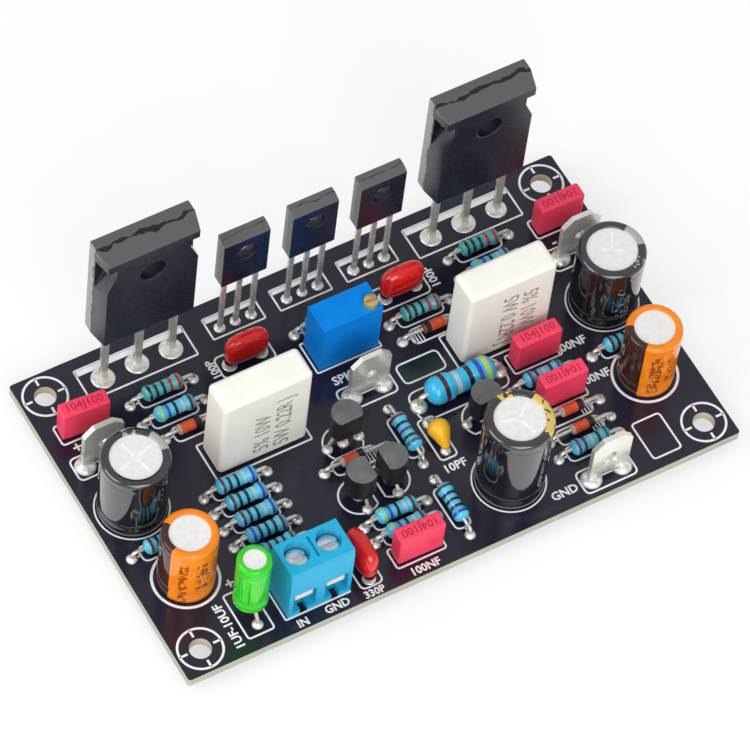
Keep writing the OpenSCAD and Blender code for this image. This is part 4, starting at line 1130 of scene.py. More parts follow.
@dataclass
class Solder:
    """Solder at every lead: a pale dome above the board where it shows, and one below.

    Each kind of joint is a radius and a rise.
    """

    wire: Spot = (0.86, 0.6)
    driver: Spot = (0.92, 0.5)
    covered: Spot = (0.86, 0.55)
    dipped: Spot = (1.1, 0.16)
    power: Spot = (1.75, 0.4)
    tab: Spot = (1.6, 0.95)
    load: Spot = (1.25, 0.8)
    bar: Spot = (1.1, 0.5)
    spread: Spot = (0.9, 1.04)
    seed: int = 7
    turns: int = 20

    def dome(self, joint: Spot, up: bool) -> Surface:
        """A turned dome drawn up a little at the lead: (radius cos a, rise sin a), then a small collar."""
        radius, rise = joint
        a = np.radians(np.linspace(0, 66, 8))
        profile = np.stack([radius * np.cos(a), rise * (0.08 + 0.86 * np.sin(a))], 1)
        collar = [[radius * 0.3, rise * 1.0], [radius * 0.12, rise * 1.04]]
        profile = np.concatenate([[[radius * 0.98, 0.0]], profile, collar])
        return lathe(profile if up else profile[::-1] * np.array([1, -1]), self.turns)

    def group(self, places: list[Place], joint: Spot, above: bool = True) -> list[Surface]:
        """Domes at many pads, each a little different in size.

        Args:
            places: the pads.
            joint: radius and rise of the solder.
            above: whether it shows on the upper side.

        Returns:
            Surfaces for both sides of the board.
        """
        draw = np.random.default_rng(self.seed + len(places))
        size = draw.uniform(*self.spread, len(places))
        parts = [copies(self.dome(joint, False), places, UNDERSIDE, size)]
        if above:
            parts.append(copies(self.dome(joint, True), places, DECK, size))
        return parts

    def build(self) -> list[Piece]:
        """Small joints in one piece and heavy ones in another."""
        wires = pads(Layout.AXIAL, Layout.AXIAL_PITCH) + pads([Layout.DROP, Layout.GREEN], Layout.BOX_PITCH)
        wires += pads(Layout.SIGNAL, 2 * Layout.SMALL_PITCH, True)
        covered = pads(Layout.FILM, Layout.BOX_PITCH) + pads(Layout.BLACK, Layout.BLACK_PITCH)
        covered += pads(Layout.ORANGE, Layout.ORANGE_PITCH) + pads(Layout.CEMENT, Layout.CEMENT_PITCH)
        small = self.group(wires, self.wire)
        small += self.group(pads(Layout.DRIVER, 2 * Layout.SMALL_PITCH, True), self.driver)
        small += self.group(covered + Layout.TRIMMER_PINS, self.covered, False)
        small += self.group(pads(Layout.DIPPED, Layout.BOX_PITCH), self.dipped)
        heavy = self.group(pads(Layout.POWER, 2 * Layout.POWER_PITCH, True), self.power)
        heavy += self.group(pads(Layout.TABS, Layout.TAB_PITCH), self.tab)
        heavy += self.group(pads([Layout.LOAD], Layout.LOAD_PITCH), self.load)
        heavy += self.group(pads([Layout.TERMINAL_BARS], Layout.BAR_PITCH), self.bar, False)
        return [
            Piece("small_solder", join(small), (SOLDER,), ("solder_joints",), crease=ROUND_CREASE),
            Piece("heavy_solder", join(heavy), (SOLDER,), ("power_solder_joints",), crease=ROUND_CREASE),
        ]


# Axial parts


class Band(Enum):
    """Colours of the rings painted on resistors and diodes."""

    BLACK = (0.012, 0.012, 0.016)
    BROWN = (0.085, 0.030, 0.028)
    MAROON = (0.16, 0.012, 0.022)
    RED = (0.42, 0.020, 0.030)
    BLUE = (0.020, 0.075, 0.50)
    PURPLE = (0.11, 0.040, 0.16)
    PLUM = (0.070, 0.012, 0.035)
    GREEN = (0.30, 0.60, 0.25)
    LIME = (0.50, 0.62, 0.10)
    PALE = (0.46, 0.58, 0.62)
    DEEP = (0.020, 0.12, 0.16)


BLUE_BODY: Colour = (0.088, 0.55, 0.80)
TEAL_BODY: Colour = (0.060, 0.42, 0.44)
LOAD_BODY: Colour = (0.032, 0.52, 0.84)
GLASS_BODY: Colour = (0.72, 0.085, 0.028)

CODE_BANK = (Band.BROWN, Band.BLACK, Band.BLACK, Band.PALE, Band.BLUE)
CODE_TURNED = (Band.BLUE, Band.BLACK, Band.BLACK, Band.BLACK, Band.BROWN)
CODE_LIME = (Band.GREEN, Band.BLUE, Band.BLACK, Band.PALE, Band.BROWN)
CODE_DARK = (Band.DEEP, Band.BLACK, Band.PURPLE, Band.BLACK, Band.MAROON)
CODE_PLUM = (Band.PURPLE, Band.BROWN, Band.PALE, Band.BLACK, Band.DEEP)
CODE_TEAL = (Band.BLACK, Band.BLACK, Band.BLACK, Band.RED, Band.RED)
CODE_LOAD = (Band.PLUM, Band.PALE, Band.BLACK, Band.BLUE, Band.LIME)

BAND_SHARES = (-0.36, -0.19, -0.01, 0.17, 0.36)
LOAD_SHARES = (-0.27, -0.08, 0.10, 0.24, 0.35)


@dataclass
class AxialPart:
    """A banded body between two bent leads."""

    length: float = 6.3
    radius: float = 1.2
    waist: float = 0.2
    lift: float = 0.3
    pitch: float = Layout.AXIAL_PITCH
    wire_r: float = WIRE_R
    band: float = 0.46
    colour: Colour = BLUE_BODY
    shoulder: float = 0.46
    round_end: float = 0.28
    shares: tuple[float, ...] = BAND_SHARES
    swell: float = 0.18
    end_fall: float = 0.92
    end_power: float = 2.2
    paint_edge: float = 0.005
    bend: float = 0.8
    turns: int = 28

    def spans(self, code: tuple[Band, ...]) -> list[tuple[float, float, Colour]]:
        """From, to and colour of each band along the body."""
        half = self.band / 2
        return [(k * self.length - half, k * self.length + half, b.value) for k, b in zip(self.shares, code)]

    def body(self, spans: list[tuple[float, float, Colour]]) -> Surface:
        """The body, turned about X: full at both ends, slimmer between, and round where the leads leave.

        With e the share of the way from the middle to an end, the radius is the waist's up to the shoulder,
        grows smoothly to the full one, and falls at the end as a root of 1 - e'^2.

        Args:
            spans: from, to and colour of each band.

        Returns:
            The painted body about its own middle.
        """
        edges = np.array([k for a, b, _ in spans for k in (a, b)])
        fine = np.linspace(-self.length / 2, self.length / 2, 49)
        stations = np.concatenate([fine, edges - self.paint_edge, edges + self.paint_edge])
        s = np.unique(stations.clip(-self.length / 2, self.length / 2))
        e = np.abs(s) / (self.length / 2)
        grow = np.clip((e - self.shoulder) / self.swell, 0, 1)
        r = self.radius - self.waist * (1 - grow * grow * (3 - 2 * grow))
        end = np.clip((e - 1 + self.round_end) / self.round_end, 0, 1)
        r = r * np.sqrt(1 - self.end_fall * end ** self.end_power)
        turned = lathe(np.stack([r, s], 1), self.turns)
        paint = np.tile(np.array(self.colour), (len(s), 1))
        for a, b, colour in spans:
            paint[(s > a) & (s < b)] = colour
        turned.paint = np.repeat(paint, self.turns, 0)
        return turned.laid_along_x()

    def coded(self, code: tuple[Band, ...], place: Place) -> Surface:
        """The body with the bands of its code, at a place of the layout."""
        return self.body(self.spans(code)).at(place, self.height())

    def leads(self, shift: float = 0.0) -> Surface:
        """Both leads: out from the body, round a quarter circle and down through the board.

        Args:
            shift: how far the body sits from the middle of its leads.

        Returns:
            The two leads, with the body's axis at height 0.
        """
        a = np.linspace(0, math.pi / 2, 7)
        arc = self.bend * np.stack([np.sin(a) - 1, 0 * a, np.cos(a) - 1], 1)
        arc += np.array([self.pitch / 2, 0, 0])
        drop = self.lift + self.radius - SMALL_TAIL
        parts = []
        for side in (1, -1):
            start = self.length / 2 + side * shift - 0.1
            path = np.concatenate([[[start, 0, 0]], arc, [[self.pitch / 2, 0, -drop]]])
            parts.append(tube(path, self.wire_r, sides=10).turned(0 if side > 0 else 180))
        return join(parts)

    def height(self) -> float:
        """Height of the body's axis."""
        return DECK + self.lift + self.radius


@dataclass
class AxialRow:
    """All the resistors and diodes that lie on the board."""

    small: AxialPart = field(default_factory=AxialPart)
    teal: AxialPart = field(default_factory=lambda: AxialPart(colour=TEAL_BODY))
    load: AxialPart = field(default_factory=lambda: AxialPart(
        11.0, 2.1, 0.34, pitch=Layout.LOAD_PITCH, wire_r=0.4, band=0.72, colour=LOAD_BODY, shoulder=0.22,
        round_end=0.3, shares=LOAD_SHARES))
    diode: AxialPart = field(default_factory=lambda: AxialPart(
        3.9, 0.8, 0.0, lift=0.4, colour=GLASS_BODY, shoulder=0.4, round_end=0.2))
    blue_codes: tuple[tuple[Band, ...], ...] = (
        CODE_BANK, CODE_BANK, CODE_BANK, CODE_TURNED, CODE_TURNED, CODE_LIME, CODE_BANK, CODE_LIME, CODE_BANK,
        CODE_DARK, CODE_TURNED, CODE_LIME, CODE_LIME, CODE_PLUM, CODE_BANK, CODE_PLUM,
    )

    def diode_spans(self) -> list[tuple[float, float, Colour]]:
        """A pale end where the lead is melted in, and a wide black ring at the other end."""
        pale, dark = (0.50, 0.40, 0.34), (0.30, 0.05, 0.03)
        return [(-2.0, -1.45, pale), (0.75, 1.6, Band.BLACK.value), (1.6, 2.0, dark)]

    def build(self) -> list[Piece]:
        """The painted bodies, group by group, and all the leads as one piece."""
        blue = [self.small.coded(code, place) for code, place in zip(self.blue_codes, Layout.BLUE)]
        teal = [self.teal.coded(CODE_TEAL, place) for place in Layout.TEAL]
        load = self.load.coded(CODE_LOAD, Layout.LOAD)
        leads = [self.small.leads().at(place, self.small.height()) for place in Layout.BLUE + Layout.TEAL]
        glass = []
        for place, turn, shift in zip(Layout.DIODES, Layout.DIODE_TURNS, Layout.DIODE_SHIFTS):
            body = self.diode.body(self.diode_spans()).turned(turn).moved(shift)
            glass.append(body.at(place, self.diode.height()))
            leads.append(self.diode.leads(shift).at(place, self.diode.height()))
        leads.append(self.load.leads().at(Layout.LOAD, self.load.height()))
        stub = tube(np.array([[0, 0, 0], [0, 0, SMALL_TAIL]]), WIRE_R, sides=10)
        leads.append(copies(stub, pads(Layout.CEMENT, Layout.CEMENT_PITCH), DECK))
        bodies = (
            ("banded_blue_resistors", join(blue), LACQUER, "blue_resistors"),
            ("banded_teal_resistors", join(teal), TEAL_LACQUER, "teal_resistors"),
            ("banded_load_resistor", load, LACQUER, "load_resistor"),
            ("banded_diodes", join(glass), DIODE_GLASS, "glass_diodes"),
        )
        pieces = [Piece(n, s, (look,), (node,), crease=SMOOTH_CREASE) for n, s, look, node in bodies]
        return pieces + [Piece("bent_leads", join(leads), (TINNED,), ("axial_leads",), crease=ROUND_CREASE)]


# Upright parts


@dataclass
class CementResistors:
    """Two upright cement blocks with soft edges, and grey rating marks on the front."""

    edge_r: float = 0.75
    taper: float = 0.03
    mark_height: float = 2.0
    mark_thick: float = 0.03
    mark_bold: float = 0.03
    mark_scale: Place = (0.9, 1.25, 1.0)
    mark_shift: Spot = (1.2, -0.9)

    def block(self, node: str) -> Surface:
        """A round-edged box whose width falls evenly from its foot to its top."""
        low, high = box_mm(node)
        size = high - low
        shape = rounded_box(tuple(size), self.edge_r, 5)
        points = shape.points.copy()
        share = points[:, 2] / size[2] + 0.5
        points[:, 1] *= 1 - self.taper * share
        return shape.with_points(points + (low + high) / 2)

    def marks(self, node: str, turn: float) -> Surface:
        """Two lines of rating on the front face, which leans back as the block narrows."""
        low, high = box_mm(node)
        size, middle = high - low, (low + high) / 2
        rows = (("5W 0.22R J", (0, -1.3)), ("5% 10W", (-1.2, 1.3)))
        flat = join([
            lettering(words, self.mark_height, self.mark_thick, self.mark_bold).moved(*shift)
            for words, shift in rows
        ])
        stood = flat.with_points(flat.points * np.array(self.mark_scale)).turned(turn).stood_up()
        lean = (stood.points[:, 2] / size[2] + 0.5) * self.taper
        x, z = self.mark_shift
        points = stood.points + np.array([middle[0] + x, low[1], middle[2] + z])
        points[:, 1] += size[1] / 2 * lean
        return stood.with_points(points)

    def build(self) -> list[Piece]:
        """Both blocks and their marks."""
        nodes = [f"cement_resistor_{side}" for side in SIDES]
        pieces = [Piece(f"{n}_block", self.block(n), (CERAMIC,), (n,), crease=50) for n in nodes]
        marks = join([self.marks(node, turn) for node, turn in zip(nodes, (90, -90))])
        return pieces + [Piece("cement_marks", marks, (CEMENT_INK,), crease=FLAT_CREASE)]


@dataclass
class FilmCapacitors:
    """Five small crimson boxes with soft edges and pressed value marks on top."""

    size: Place = (7.2, 2.5, 6.0)
    soft: float = 0.32
    mark_turns: tuple[int, ...] = (0, 180, 0, 180, 180)
    mark_height: float = 1.25
    mark_thick: float = 0.02
    mark_sink: float = 0.008

    def box(self, place: Place) -> Surface:
        """A round-edged box on the board, turned as it stands."""
        return rounded_box(self.size, self.soft, 4).at(place, DECK + self.size[2] / 2)

    def marks(self, place: Place, turn: int) -> Surface:
        """The value, along the top face."""
        plate = lettering("104J100", self.mark_height, self.mark_thick)
        return plate.turned(turn).at(place, DECK + self.size[2] - self.mark_sink)

    def build(self) -> list[Piece]:
        """The boxes, and all their marks as one piece."""
        nodes = [f"film_capacitor_{n}" for n in range(1, len(Layout.FILM) + 1)]
        pieces = [
            Piece(f"{node}_box", self.box(place), (CRIMSON,), (node,), crease=BOX_CREASE)
            for node, place in zip(nodes, Layout.FILM)
        ]
        marks = join([self.marks(p, turn) for p, turn in zip(Layout.FILM, self.mark_turns)])
        return pieces + [Piece("film_marks", marks, (CRIMSON_MARK,), crease=FLAT_CREASE)]


@dataclass
class DippedCapacitors:
    """Three red resin pillows on coated legs, and one amber drop."""

    square: float = 3.2
    shoulder: float = 0.42
    slim: float = 0.25
    sink: float = 0.5
    foot: float = 0.45
    leg_r: float = 0.55
    leg_taper: Place = (1.5, 1.0, 0.8)
    splay: float = 1.02
    face: float = 88.0

    def pillow(self, node: str, turn: float) -> Surface:
        """A cushion: a squared oval (|x/a|^n + |z/c|^n = 1) that shrinks towards its front and back.

        At depth angle w the oval lies at y = b sin w and has (cos w)^shoulder of its size.

        Args:
            node: the CAD node it stands for.
            turn: its turn about Z.

        Returns:
            The cushion with its two legs, in place.
        """
        low, high = box_mm(node)
        size = (high - low) / 2
        along, across = (size[0], size[1]) if turn == 0 else (size[1], size[0])
        across -= self.slim
        top = high[2] - self.sink
        tall = (top - DECK - self.foot) / 2
        w = np.radians(np.linspace(-self.face, self.face, 25))
        u = np.linspace(0, 2 * math.pi, 64, endpoint=False)
        c, s = np.cos(u), np.sin(u)
        oval = (np.abs(c) ** self.square + np.abs(s) ** self.square) ** (-1 / self.square)
        shrink = (np.cos(w) ** self.shoulder)[:, None]
        rings = np.stack(np.broadcast_arrays(
            along * shrink * (oval * c)[None], -across * np.sin(w)[:, None], tall * shrink * (oval * s)[None],
        ), -1)
        body = ringed(rings[::-1])
        thick = np.array(self.leg_taper) * self.leg_r
        steps = (0.5 - tall, -tall - self.foot / 2, -tall - self.foot)
        legs = [
            tube(np.array([[x, 0, z] for x, z in zip((k, k, k * self.splay), steps)]), thick, sides=16)
            for k in (-Layout.BOX_PITCH / 2, Layout.BOX_PITCH / 2)
        ]
        middle = (low + high) / 2
        return join([body, *legs]).turned(turn).moved(middle[0], middle[1], top - tall)

    def drop(self) -> Surface:
        """A bead that narrows late and bends down to its front lead: ever smaller circles along a curve."""
        low, high = box_mm("drop_capacitor")
        x = (low[0] + high[0]) / 2
        radius = (high[0] - low[0]) / 2
        bead_y = high[1] - radius
        bead_z = high[2] - radius
        t = np.linspace(0, 1, 26)
        head = np.radians(np.linspace(4, 100, 14))
        path_head = np.stack([0 * head + x, bead_y + radius * np.cos(head) * 0.8, bead_z + 0 * head], 1)
        tail = np.stack([
            0 * t + x,
            path_head[-1, 1] + (low[1] + 0.6 - path_head[-1, 1]) * t,
            bead_z + (low[2] + 0.1 - bead_z) * t ** 1.25,
        ], 1)[1:]
        r = np.concatenate([radius * np.sin(head), radius * (0.985 - 0.66 * t[1:] ** 1.15)])
        return tube(np.concatenate([path_head, tail]), r, (1, 0, 0), 28)

    def build(self) -> list[Piece]:
        """The pillows and the drop."""
        turns = {"dipped_capacitor_left": 0, "dipped_capacitor_right": 0, "dipped_capacitor_front": 90}
        pieces = [
            Piece(f"{n}_pillow", self.pillow(n, turn), (RED_RESIN,), (n,), crease=75)
            for n, turn in turns.items()
        ]
        return pieces + [Piece("amber_drop", self.drop(), (AMBER_RESIN,), ("drop_capacitor",), crease=75)]


BLACK_SLEEVE = SleeveFinish("black_sleeve", "black_sleeve", (0.006, 0.006, 0.010), (0.010, 0.010, 0.015),
                            specular=1.0, coat=0.6)
ORANGE_SLEEVE = SleeveFinish("orange_sleeve", "orange_sleeve", (0.88, 0.24, 0.004), (0.80, 0.195, 0.003))
GREEN_SLEEVE = SleeveFinish("green_sleeve", "green_sleeve", (0.030, 0.58, 0.016), (0.022, 0.48, 0.012))
STRIPE_GREY: Colour = (0.36, 0.36, 0.35)
CHALK: Colour = (0.30, 0.30, 0.31)
GOLD: Colour = (0.66, 0.47, 0.09)
UMBER: Colour = (0.045, 0.014, 0.010)
RUSSET: Colour = (0.34, 0.075, 0.008)
LEAF: Colour = (0.055, 0.62, 0.030)
MOSS: Colour = (0.03, 0.16, 0.02)
WHOLE = (-40.0, 2.0)


def printed(base: SleeveFinish, node: str, *patches: Patch) -> SleeveFinish:
    """The finish of one sleeve: its kind's colours, with its own print.

    Args:
        base: finish of the kind of sleeve.
        node: the CAD node of the sleeve.
        patches: the fields printed on it.

    Returns:
        The sleeve's finish.
    """
    return replace(base, name=f"{node}_print", node=node, patches=patches)


SLEEVES = (
    printed(BLACK_SLEEVE, "black_sleeve_left", Patch(12, 22, WHOLE, STRIPE_GREY),
            Patch(78, 15, (-0.5, 1), CHALK, 0.52), Patch(285, 9, (-8, -3), CHALK, 0.62)),
    printed(BLACK_SLEEVE, "black_sleeve_right", Patch(8, 24, WHOLE, STRIPE_GREY),
            Patch(300, 14, (-0.6, 1), CHALK, 0.54), Patch(265, 16, (-11, -3), CHALK, 0.62)),
    printed(BLACK_SLEEVE, "black_sleeve_front", Patch(346, 47, (-2.0, 1), GOLD),
            Patch(338, 40, (-2.0, 1), UMBER, 0.6), Patch(90, 14, (-0.6, 1), GOLD, 0.5)),
    printed(ORANGE_SLEEVE, "orange_sleeve_left", Patch(165, 38, WHOLE, UMBER),
            Patch(232, 9, (-12, -2.2), RUSSET, 0.5), Patch(272, 14, (-9, -2.5), RUSSET, 0.54)),
    printed(ORANGE_SLEEVE, "orange_sleeve_right", Patch(185, 36, WHOLE, UMBER),
            Patch(250, 12, (-11, -2), RUSSET, 0.47), Patch(285, 12, (-9, -3), RUSSET, 0.54)),
    printed(GREEN_SLEEVE, "green_sleeve", Patch(236, 26, (-8.6, -1.9), LEAF),
            Patch(232, 1.6, (-8.2, -2.6), MOSS)),
)
SCORES = (
    ("black_sleeve_left", (15, 105, 195, 285), 0.8),
    ("black_sleeve_right", (60,), 0.8),
    ("black_sleeve_right", (150, 330), 0.4),
    ("black_sleeve_front", (40, 162, 287), 0.8),
)
LIPS = {BLACK_SLEEVE.slot: 1.3, ORANGE_SLEEVE.slot: 1.15, GREEN_SLEEVE.slot: 0.8}


@dataclass
class Electrolytics:
    """Six upright cans in shrunk sleeves, with a stripe down one side of each sleeve.

    A groove is its depth, its height above the foot or below the rim, and its width.
    """

    wall: float = 0.25
    groove: Place = (0.25, 2.0, 0.38)
    upper_groove: Place = (0.07, 0.75, 0.2)
    rim_r: float = 0.62
    bore: float = 0.75
    dish: float = 0.05
    score: Spot = (0.4, 0.035)
    score_start: float = 0.3

    def lip(self, node: str) -> float:
        """Width of a sleeve's lip over its can."""
        return next(width for kind, width in LIPS.items() if node.startswith(kind))

    def sleeve(self, node: str) -> Surface:
        """The sleeve's wall, turned about its axis: up the outside, over the rim and down the inside."""
        low, high = box_mm(node)
        r = (high[0] - low[0]) / 2
        tall = high[2] - low[2]
        mouth = r - self.lip(node)
        a = np.linspace(0, math.pi / 2, 9)
        rim = np.stack([r - self.rim_r * (1 - np.cos(a)), tall - self.rim_r * (1 - np.sin(a))], 1)
        side_z = np.linspace(0.35, tall - self.rim_r, 40)
        deep, above, wide = self.groove
        neck = deep * np.exp(-((side_z - above) / wide) ** 2)
        deep, below, wide = self.upper_groove
        neck += deep * np.exp(-((side_z - tall + self.rim_r + below) / wide) ** 2)
        side = np.stack([r - neck, side_z], 1)
        foot = np.array([[r - 0.6, 0.0], [r - 0.15, 0.05], [r, 0.3]])
        under = tall - self.wall
        top = np.array([[mouth + 0.1, tall], [mouth, tall - 0.08], [mouth, under]])
        bore = r - self.bore
        inside = np.array([[r - self.wall - self.rim_r, under], [bore, tall - 1.2], [bore, 0.0]])
        profile = np.concatenate([foot, side, rim, top, inside])
        return lathe(profile, 72, loop=True).moved((low[0] + high[0]) / 2, (low[1] + high[1]) / 2, low[2])

    def can(self, node: str) -> Surface:
        """The can's top: a disc a little lower than the sleeve's lip, with a faint dish and a rolled edge."""
        low, high = box_mm(node)
        r = (high[0] - low[0]) / 2 - self.wall - 0.5
        disc = (high[0] - low[0]) / 2 - self.lip(node)
        top = high[2] - low[2] - self.wall
        share = np.linspace(1, 0.02, 10)
        face = np.stack([disc * share, top - self.dish * (1 - share ** 2)], 1)
        profile = np.concatenate([[[r, 0.2], [r, top - 0.6], [disc + 0.2, top]], face])
        return lathe(profile, 64).moved((low[0] + high[0]) / 2, (low[1] + high[1]) / 2, low[2])

    def scores(self, node: str, angles: tuple[float, ...], share: float) -> list[Surface]:
        """Pressed lines across the can's top, from near its middle outwards.

        Args:
            node: the CAD node of the can's sleeve.
            angles: the way each line runs, in degrees.
            share: how much of the can's radius they cross.

        Returns:
            One surface for each line.
        """
        low, high = box_mm(node)
        reach = ((high[0] - low[0]) / 2 - self.lip(node)) * share
        width, thick = self.score
        along = np.linspace(self.score_start, reach, 6)[:, None]
        ways = [np.array([math.cos(a), math.sin(a)]) for a in np.radians(angles)]
        middle = ((low + high) / 2)[:2]
        return [stroke(middle + along * way, width, high[2] - self.wall - 0.03, thick) for way in ways]

    def leads(self) -> Surface:
        """Leads of the capacitors: splayed under the green one, bent beside the drop, else straight."""
        x, y, _ = Layout.GREEN
        dx, dy, _ = Layout.DROP
        stand = float(box_mm("green_sleeve")[0][2]) - DECK
        paths = [
            [[x, y + side * 1.0, stand + 0.3], [x, y + side * 1.05, stand - 0.2], [x, y + side * 2.4, 1.0],
             [x, y + side * 2.5, 0.6], [x, y + side * 2.5, SMALL_TAIL]]
            for side in (-1, 1)
        ]
        bent = ((1.2, 2.4), (2.1, 1.9), (2.5, 1.2), (2.5, SMALL_TAIL))
        paths.append([[dx, dy + back, z] for back, z in bent])
        parts = [tube(np.array(path), WIRE_R, (1, 0, 0), 10).moved(z=DECK) for path in paths]
        stub = tube(np.array([[0, 0, 0.2], [0, 0, SMALL_TAIL]]), WIRE_R, sides=10)
        straight = pads(Layout.FILM + Layout.DIPPED, Layout.BOX_PITCH)
        straight += pads(Layout.BLACK, Layout.BLACK_PITCH) + pads(Layout.ORANGE, Layout.ORANGE_PITCH)
        straight.append((dx, dy - Layout.BOX_PITCH / 2, 0))
        return join(parts + [copies(stub, straight, DECK)])

    def build(self) -> list[Piece]:
        """Sleeves, cans, scores and leads."""
        pieces = [
            Piece(f"{f.node}_shrunk", self.sleeve(f.node), (f,), (f.node,), crease=ROUND_CREASE)
            for f in SLEEVES
        ]
        for kind in (BLACK_SLEEVE, ORANGE_SLEEVE):
            cans = join([self.can(f.node) for f in SLEEVES if f.slot == kind.slot])
            name = kind.slot.removesuffix("_sleeve")
            pieces.append(Piece(f"{name}_can_tops", cans, (ALUMINIUM,), (f"{name}_cans",)))
        pieces.append(Piece("green_can_top", self.can("green_sleeve"), (ALUMINIUM,), ("green_can",)))
        marks = join([line for row in SCORES for line in self.scores(*row)])
        pieces.append(Piece("can_scores", marks, (SCORE,), crease=FLAT_CREASE))
        wires = Piece("capacitor_wires", self.leads(), (TINNED,), ("capacitor_leads",), crease=ROUND_CREASE)
        return pieces + [wires]


@dataclass
class SignalTransistors:
    """Four small round-backed transistors."""

    radius: float = 2.3
    flat: float = 1.5
    soft: float = 0.22
    colour: Colour = (0.010, 0.010, 0.012)
    # painted light: the top's paler colour stands for the overhead light on it
    painted_top_light_colour: Colour = (0.10, 0.10, 0.103)

    def body(self, node: str, place: Place) -> Surface:
        """Most of a circle, closed by a straight front, carried up with soft rims; its top is painted paler,
        for the overhead light on it.
        """
        low, high = box_mm(node)
        half = math.degrees(math.acos(self.flat / self.radius))
        a = np.radians(np.linspace(-90 + half, 270 - half, 44))
        outline = self.radius * np.stack([np.cos(a), np.sin(a)], 1)
        shape = prism(outline, low[2], high[2], self.soft)
        shape.paint = np.tile(self.colour, (len(shape.points), 1))
        # painted top light: the top rings take the paler colour
        shape.paint[-2 * len(outline):] = self.painted_top_light_colour
        return shape.at(place, 0.0)

    def build(self) -> list[Piece]:
        """The four bodies."""
        nodes = [f"signal_transistor_{n}" for n in range(1, 5)]
        return [
            Piece(f"{n}_moulding", self.body(n, place), (EPOXY,), (n,), crease=BOX_CREASE)
            for n, place in zip(nodes, Layout.SIGNAL)
        ]


@dataclass
class Mouldings:
    """The parts whose CAD form is whole: transistor bodies, leads, tabs, trimmer and screw terminal."""

    power_bevel: float = 0.22
    driver_bevel: float = 0.2
    tab_bevel: float = 0.1

    def epoxy(self, kind: str, side: str, look: MouldedFinish, bevel: float) -> Moulding:
        """A transistor's body, with its finish set to the place of its own CAD node."""
        node = f"{kind}_transistor_{side}_body"
        return Moulding(node, replace(look, name=f"{kind}_epoxy_{side}", node=node), bevel)

    def build(self) -> list[Moulding]:
        """One bevelled copy for each node; what moves rides on the body of its own name."""
        tabs = ("supply_tab_left", "supply_tab_right", "output_tab", "ground_tab")
        found = [self.epoxy("power", s, POWER_EPOXY, self.power_bevel) for s in SIDES]
        drivers = ("left", "middle", "right")
        found += [self.epoxy("driver", s, DRIVER_EPOXY, self.driver_bevel) for s in drivers]
        found += [Moulding(f"power_transistor_{s}_leads", TINNED, 0.08) for s in SIDES]
        found.append(Moulding("driver_transistor_leads", TINNED, 0.07))
        found.append(Moulding("signal_transistor_leads", TINNED, 0.06))
        found += [Moulding(tab, TAB_TIN, self.tab_bevel) for tab in tabs]
        found.append(Moulding("trimmer_housing", TRIMMER_BLUE, 0.16))
        found.append(Moulding("trimmer_screw", BRASS, 0.1, "trimmer_screw"))
        found.append(Moulding("terminal_housing", TERMINAL_BLUE, 0.1))
        for side in SIDES:
            for node, bevel in ((f"terminal_screw_{side}", 0.1), (f"terminal_clamp_{side}", 0.08)):
                found.append(Moulding(node, NICKEL, bevel, node))
        return found + [Moulding("terminal_bars", BAR_TIN, 0.08)]


def dress_hidden_nodes() -> None:
    """Gives the CAD nodes inside the trimmer, which stay as they are, their finishes."""
    inner = {
        "trimmer_base": TRIMMER_BLUE, "trimmer_element": CERAMIC,
        "trimmer_pins": TINNED, "trimmer_wheel": NYLON,
    }
    for node, finish in inner.items():
        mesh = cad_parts[node].data
        mesh.materials.clear()
        mesh.materials.append(finish.material())


# Studio


@dataclass(frozen=True)
class Lamp:
    """A square soft lamp that faces the board: its place and width in millimetres, and its power in watts."""

    name: str
    place: Place
    width: float
    power: float


def aim(item: bpy.types.Object, place: Place, right: np.ndarray, back: np.ndarray) -> None:
    """Puts an object at a place, with its own axes along right, up and back."""
    turn = Matrix(np.stack([right, np.cross(back, right), back], 1).tolist()).to_4x4()
    item.matrix_world = Matrix.Translation([v * MM for v in place]) @ turn


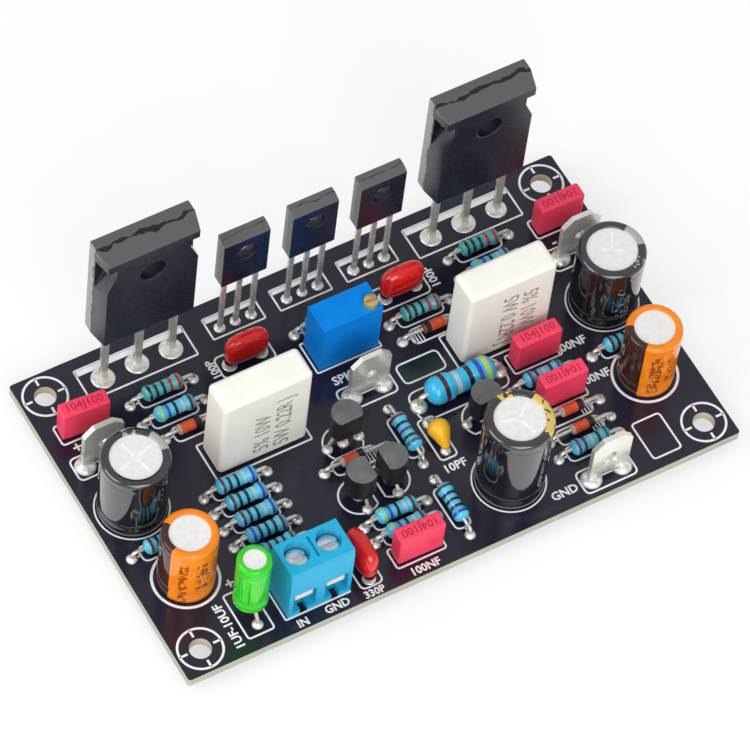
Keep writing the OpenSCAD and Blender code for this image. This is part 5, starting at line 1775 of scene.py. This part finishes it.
@dataclass
class Studio:
    """A white table, soft light from the upper left, and the camera."""

    eye: Place = (-253.859, -343.789, 677.048)
    look: Place = (0.320478, 0.435687, -0.841113)
    right: Place = (0.867864, -0.490894, 0.076393)
    lens: float = 271.15
    sensor: float = 36.0
    far: float = 10000.0
    table_half: float = 3000.0
    table_white: float = 0.93
    table_glow: float = 0.62
    sky: float = 0.6
    lamps: tuple[Lamp, ...] = (
        Lamp("side", (-580.0, 120.0, 500.0), 500.0, 2.4), Lamp("front", (-200.0, -600.0, 500.0), 600.0, 3.8),
    )

    def camera(self) -> None:
        """The camera, turned so that its own axes lie along right, up and back."""
        data = bpy.data.cameras.new("camera")
        data.lens = self.lens
        data.sensor_width = self.sensor
        data.clip_end = self.far * MM
        item = in_scene("camera", data)
        aim(item, self.eye, np.array(self.right), -np.array(self.look))
        bpy.context.scene.camera = item

    def table(self) -> None:
        """A large white table under the lead tails, which the camera sees as white with the shadow kept."""
        half = self.table_half * MM
        mesh = bpy.data.meshes.new("table")
        corners = [(x, y, 0) for x, y in corners_of((-half, half), (-half, half))]
        mesh.from_pydata(corners, [], [(0, 1, 2, 3)])
        item = in_scene("table", mesh)
        tree = Tree("table_white")
        white = (self.table_white, self.table_white, self.table_white, 1)
        fill(tree.shader, {"Base Color": white, "Roughness": 0.9, "Specular IOR Level": 0.0})
        glow = tree.nodes.new("ShaderNodeEmission")
        path = tree.nodes.new("ShaderNodeLightPath")
        seen = tree.math("ADD", path.outputs["Is Camera Ray"], path.outputs["Is Glossy Ray"])
        seen = tree.math("ADD", seen, path.outputs["Is Transmission Ray"])
        share = tree.math("MULTIPLY", tree.math("MINIMUM", seen, 1.0), self.table_glow)
        mix = tree.nodes.new("ShaderNodeMixShader")
        for source, target in zip((share, tree.shader.outputs[0], glow.outputs[0]), mix.inputs):
            tree.link(source, target)
        tree.link(mix.outputs[0], tree.nodes["Material Output"].inputs["Surface"])
        mesh.materials.append(tree.material)

    def world(self) -> None:
        """Even white light all round, which the camera sees as white."""
        world = bpy.data.worlds.new("studio")
        bpy.context.scene.world = world
        world.use_nodes = True
        nodes, links = world.node_tree.nodes, world.node_tree.links
        background = nodes["Background"]
        fill(background, {"Color": (1, 1, 1, 1)})
        path = nodes.new("ShaderNodeLightPath")
        strength = nodes.new("ShaderNodeMapRange")
        fill(strength, {"To Min": self.sky, "To Max": 1.0})
        links.new(path.outputs["Is Camera Ray"], strength.inputs["Value"])
        links.new(strength.outputs["Result"], background.inputs["Strength"])

    def light(self, lamp: Lamp) -> None:
        """Sets up a lamp, turned towards the board."""
        data = bpy.data.lights.new(lamp.name, "AREA")
        data.size = lamp.width * MM
        data.energy = lamp.power
        back = np.array(lamp.place) / np.linalg.norm(lamp.place)
        right = np.cross((0.0, 1.0, 0.0), back)
        aim(in_scene(lamp.name, data), lamp.place, right / np.linalg.norm(right), back)

    def build(self) -> None:
        """Sets the stage."""
        bpy.context.scene.view_settings.view_transform = "Standard"
        self.camera()
        self.table()
        self.world()
        for lamp in self.lamps:
            self.light(lamp)


def main() -> None:
    """Sets the stage, builds every sub-assembly in order and reports each piece."""
    logging.basicConfig(level=logging.INFO, format="%(name)s: %(message)s")
    Studio().build()
    dress_hidden_nodes()
    groups = (
        CircuitBoard(), Traces(), Print(), Solder(), AxialRow(), CementResistors(), FilmCapacitors(),
        DippedCapacitors(), Electrolytics(), SignalTransistors(), Mouldings(),
    )
    for group in groups:
        for piece in group.build():
            item = piece.make()
            LOG.info("%s: %d faces on %s", item.name, len(item.data.polygons), piece.body)


if __name__ == "__main__":
    main()
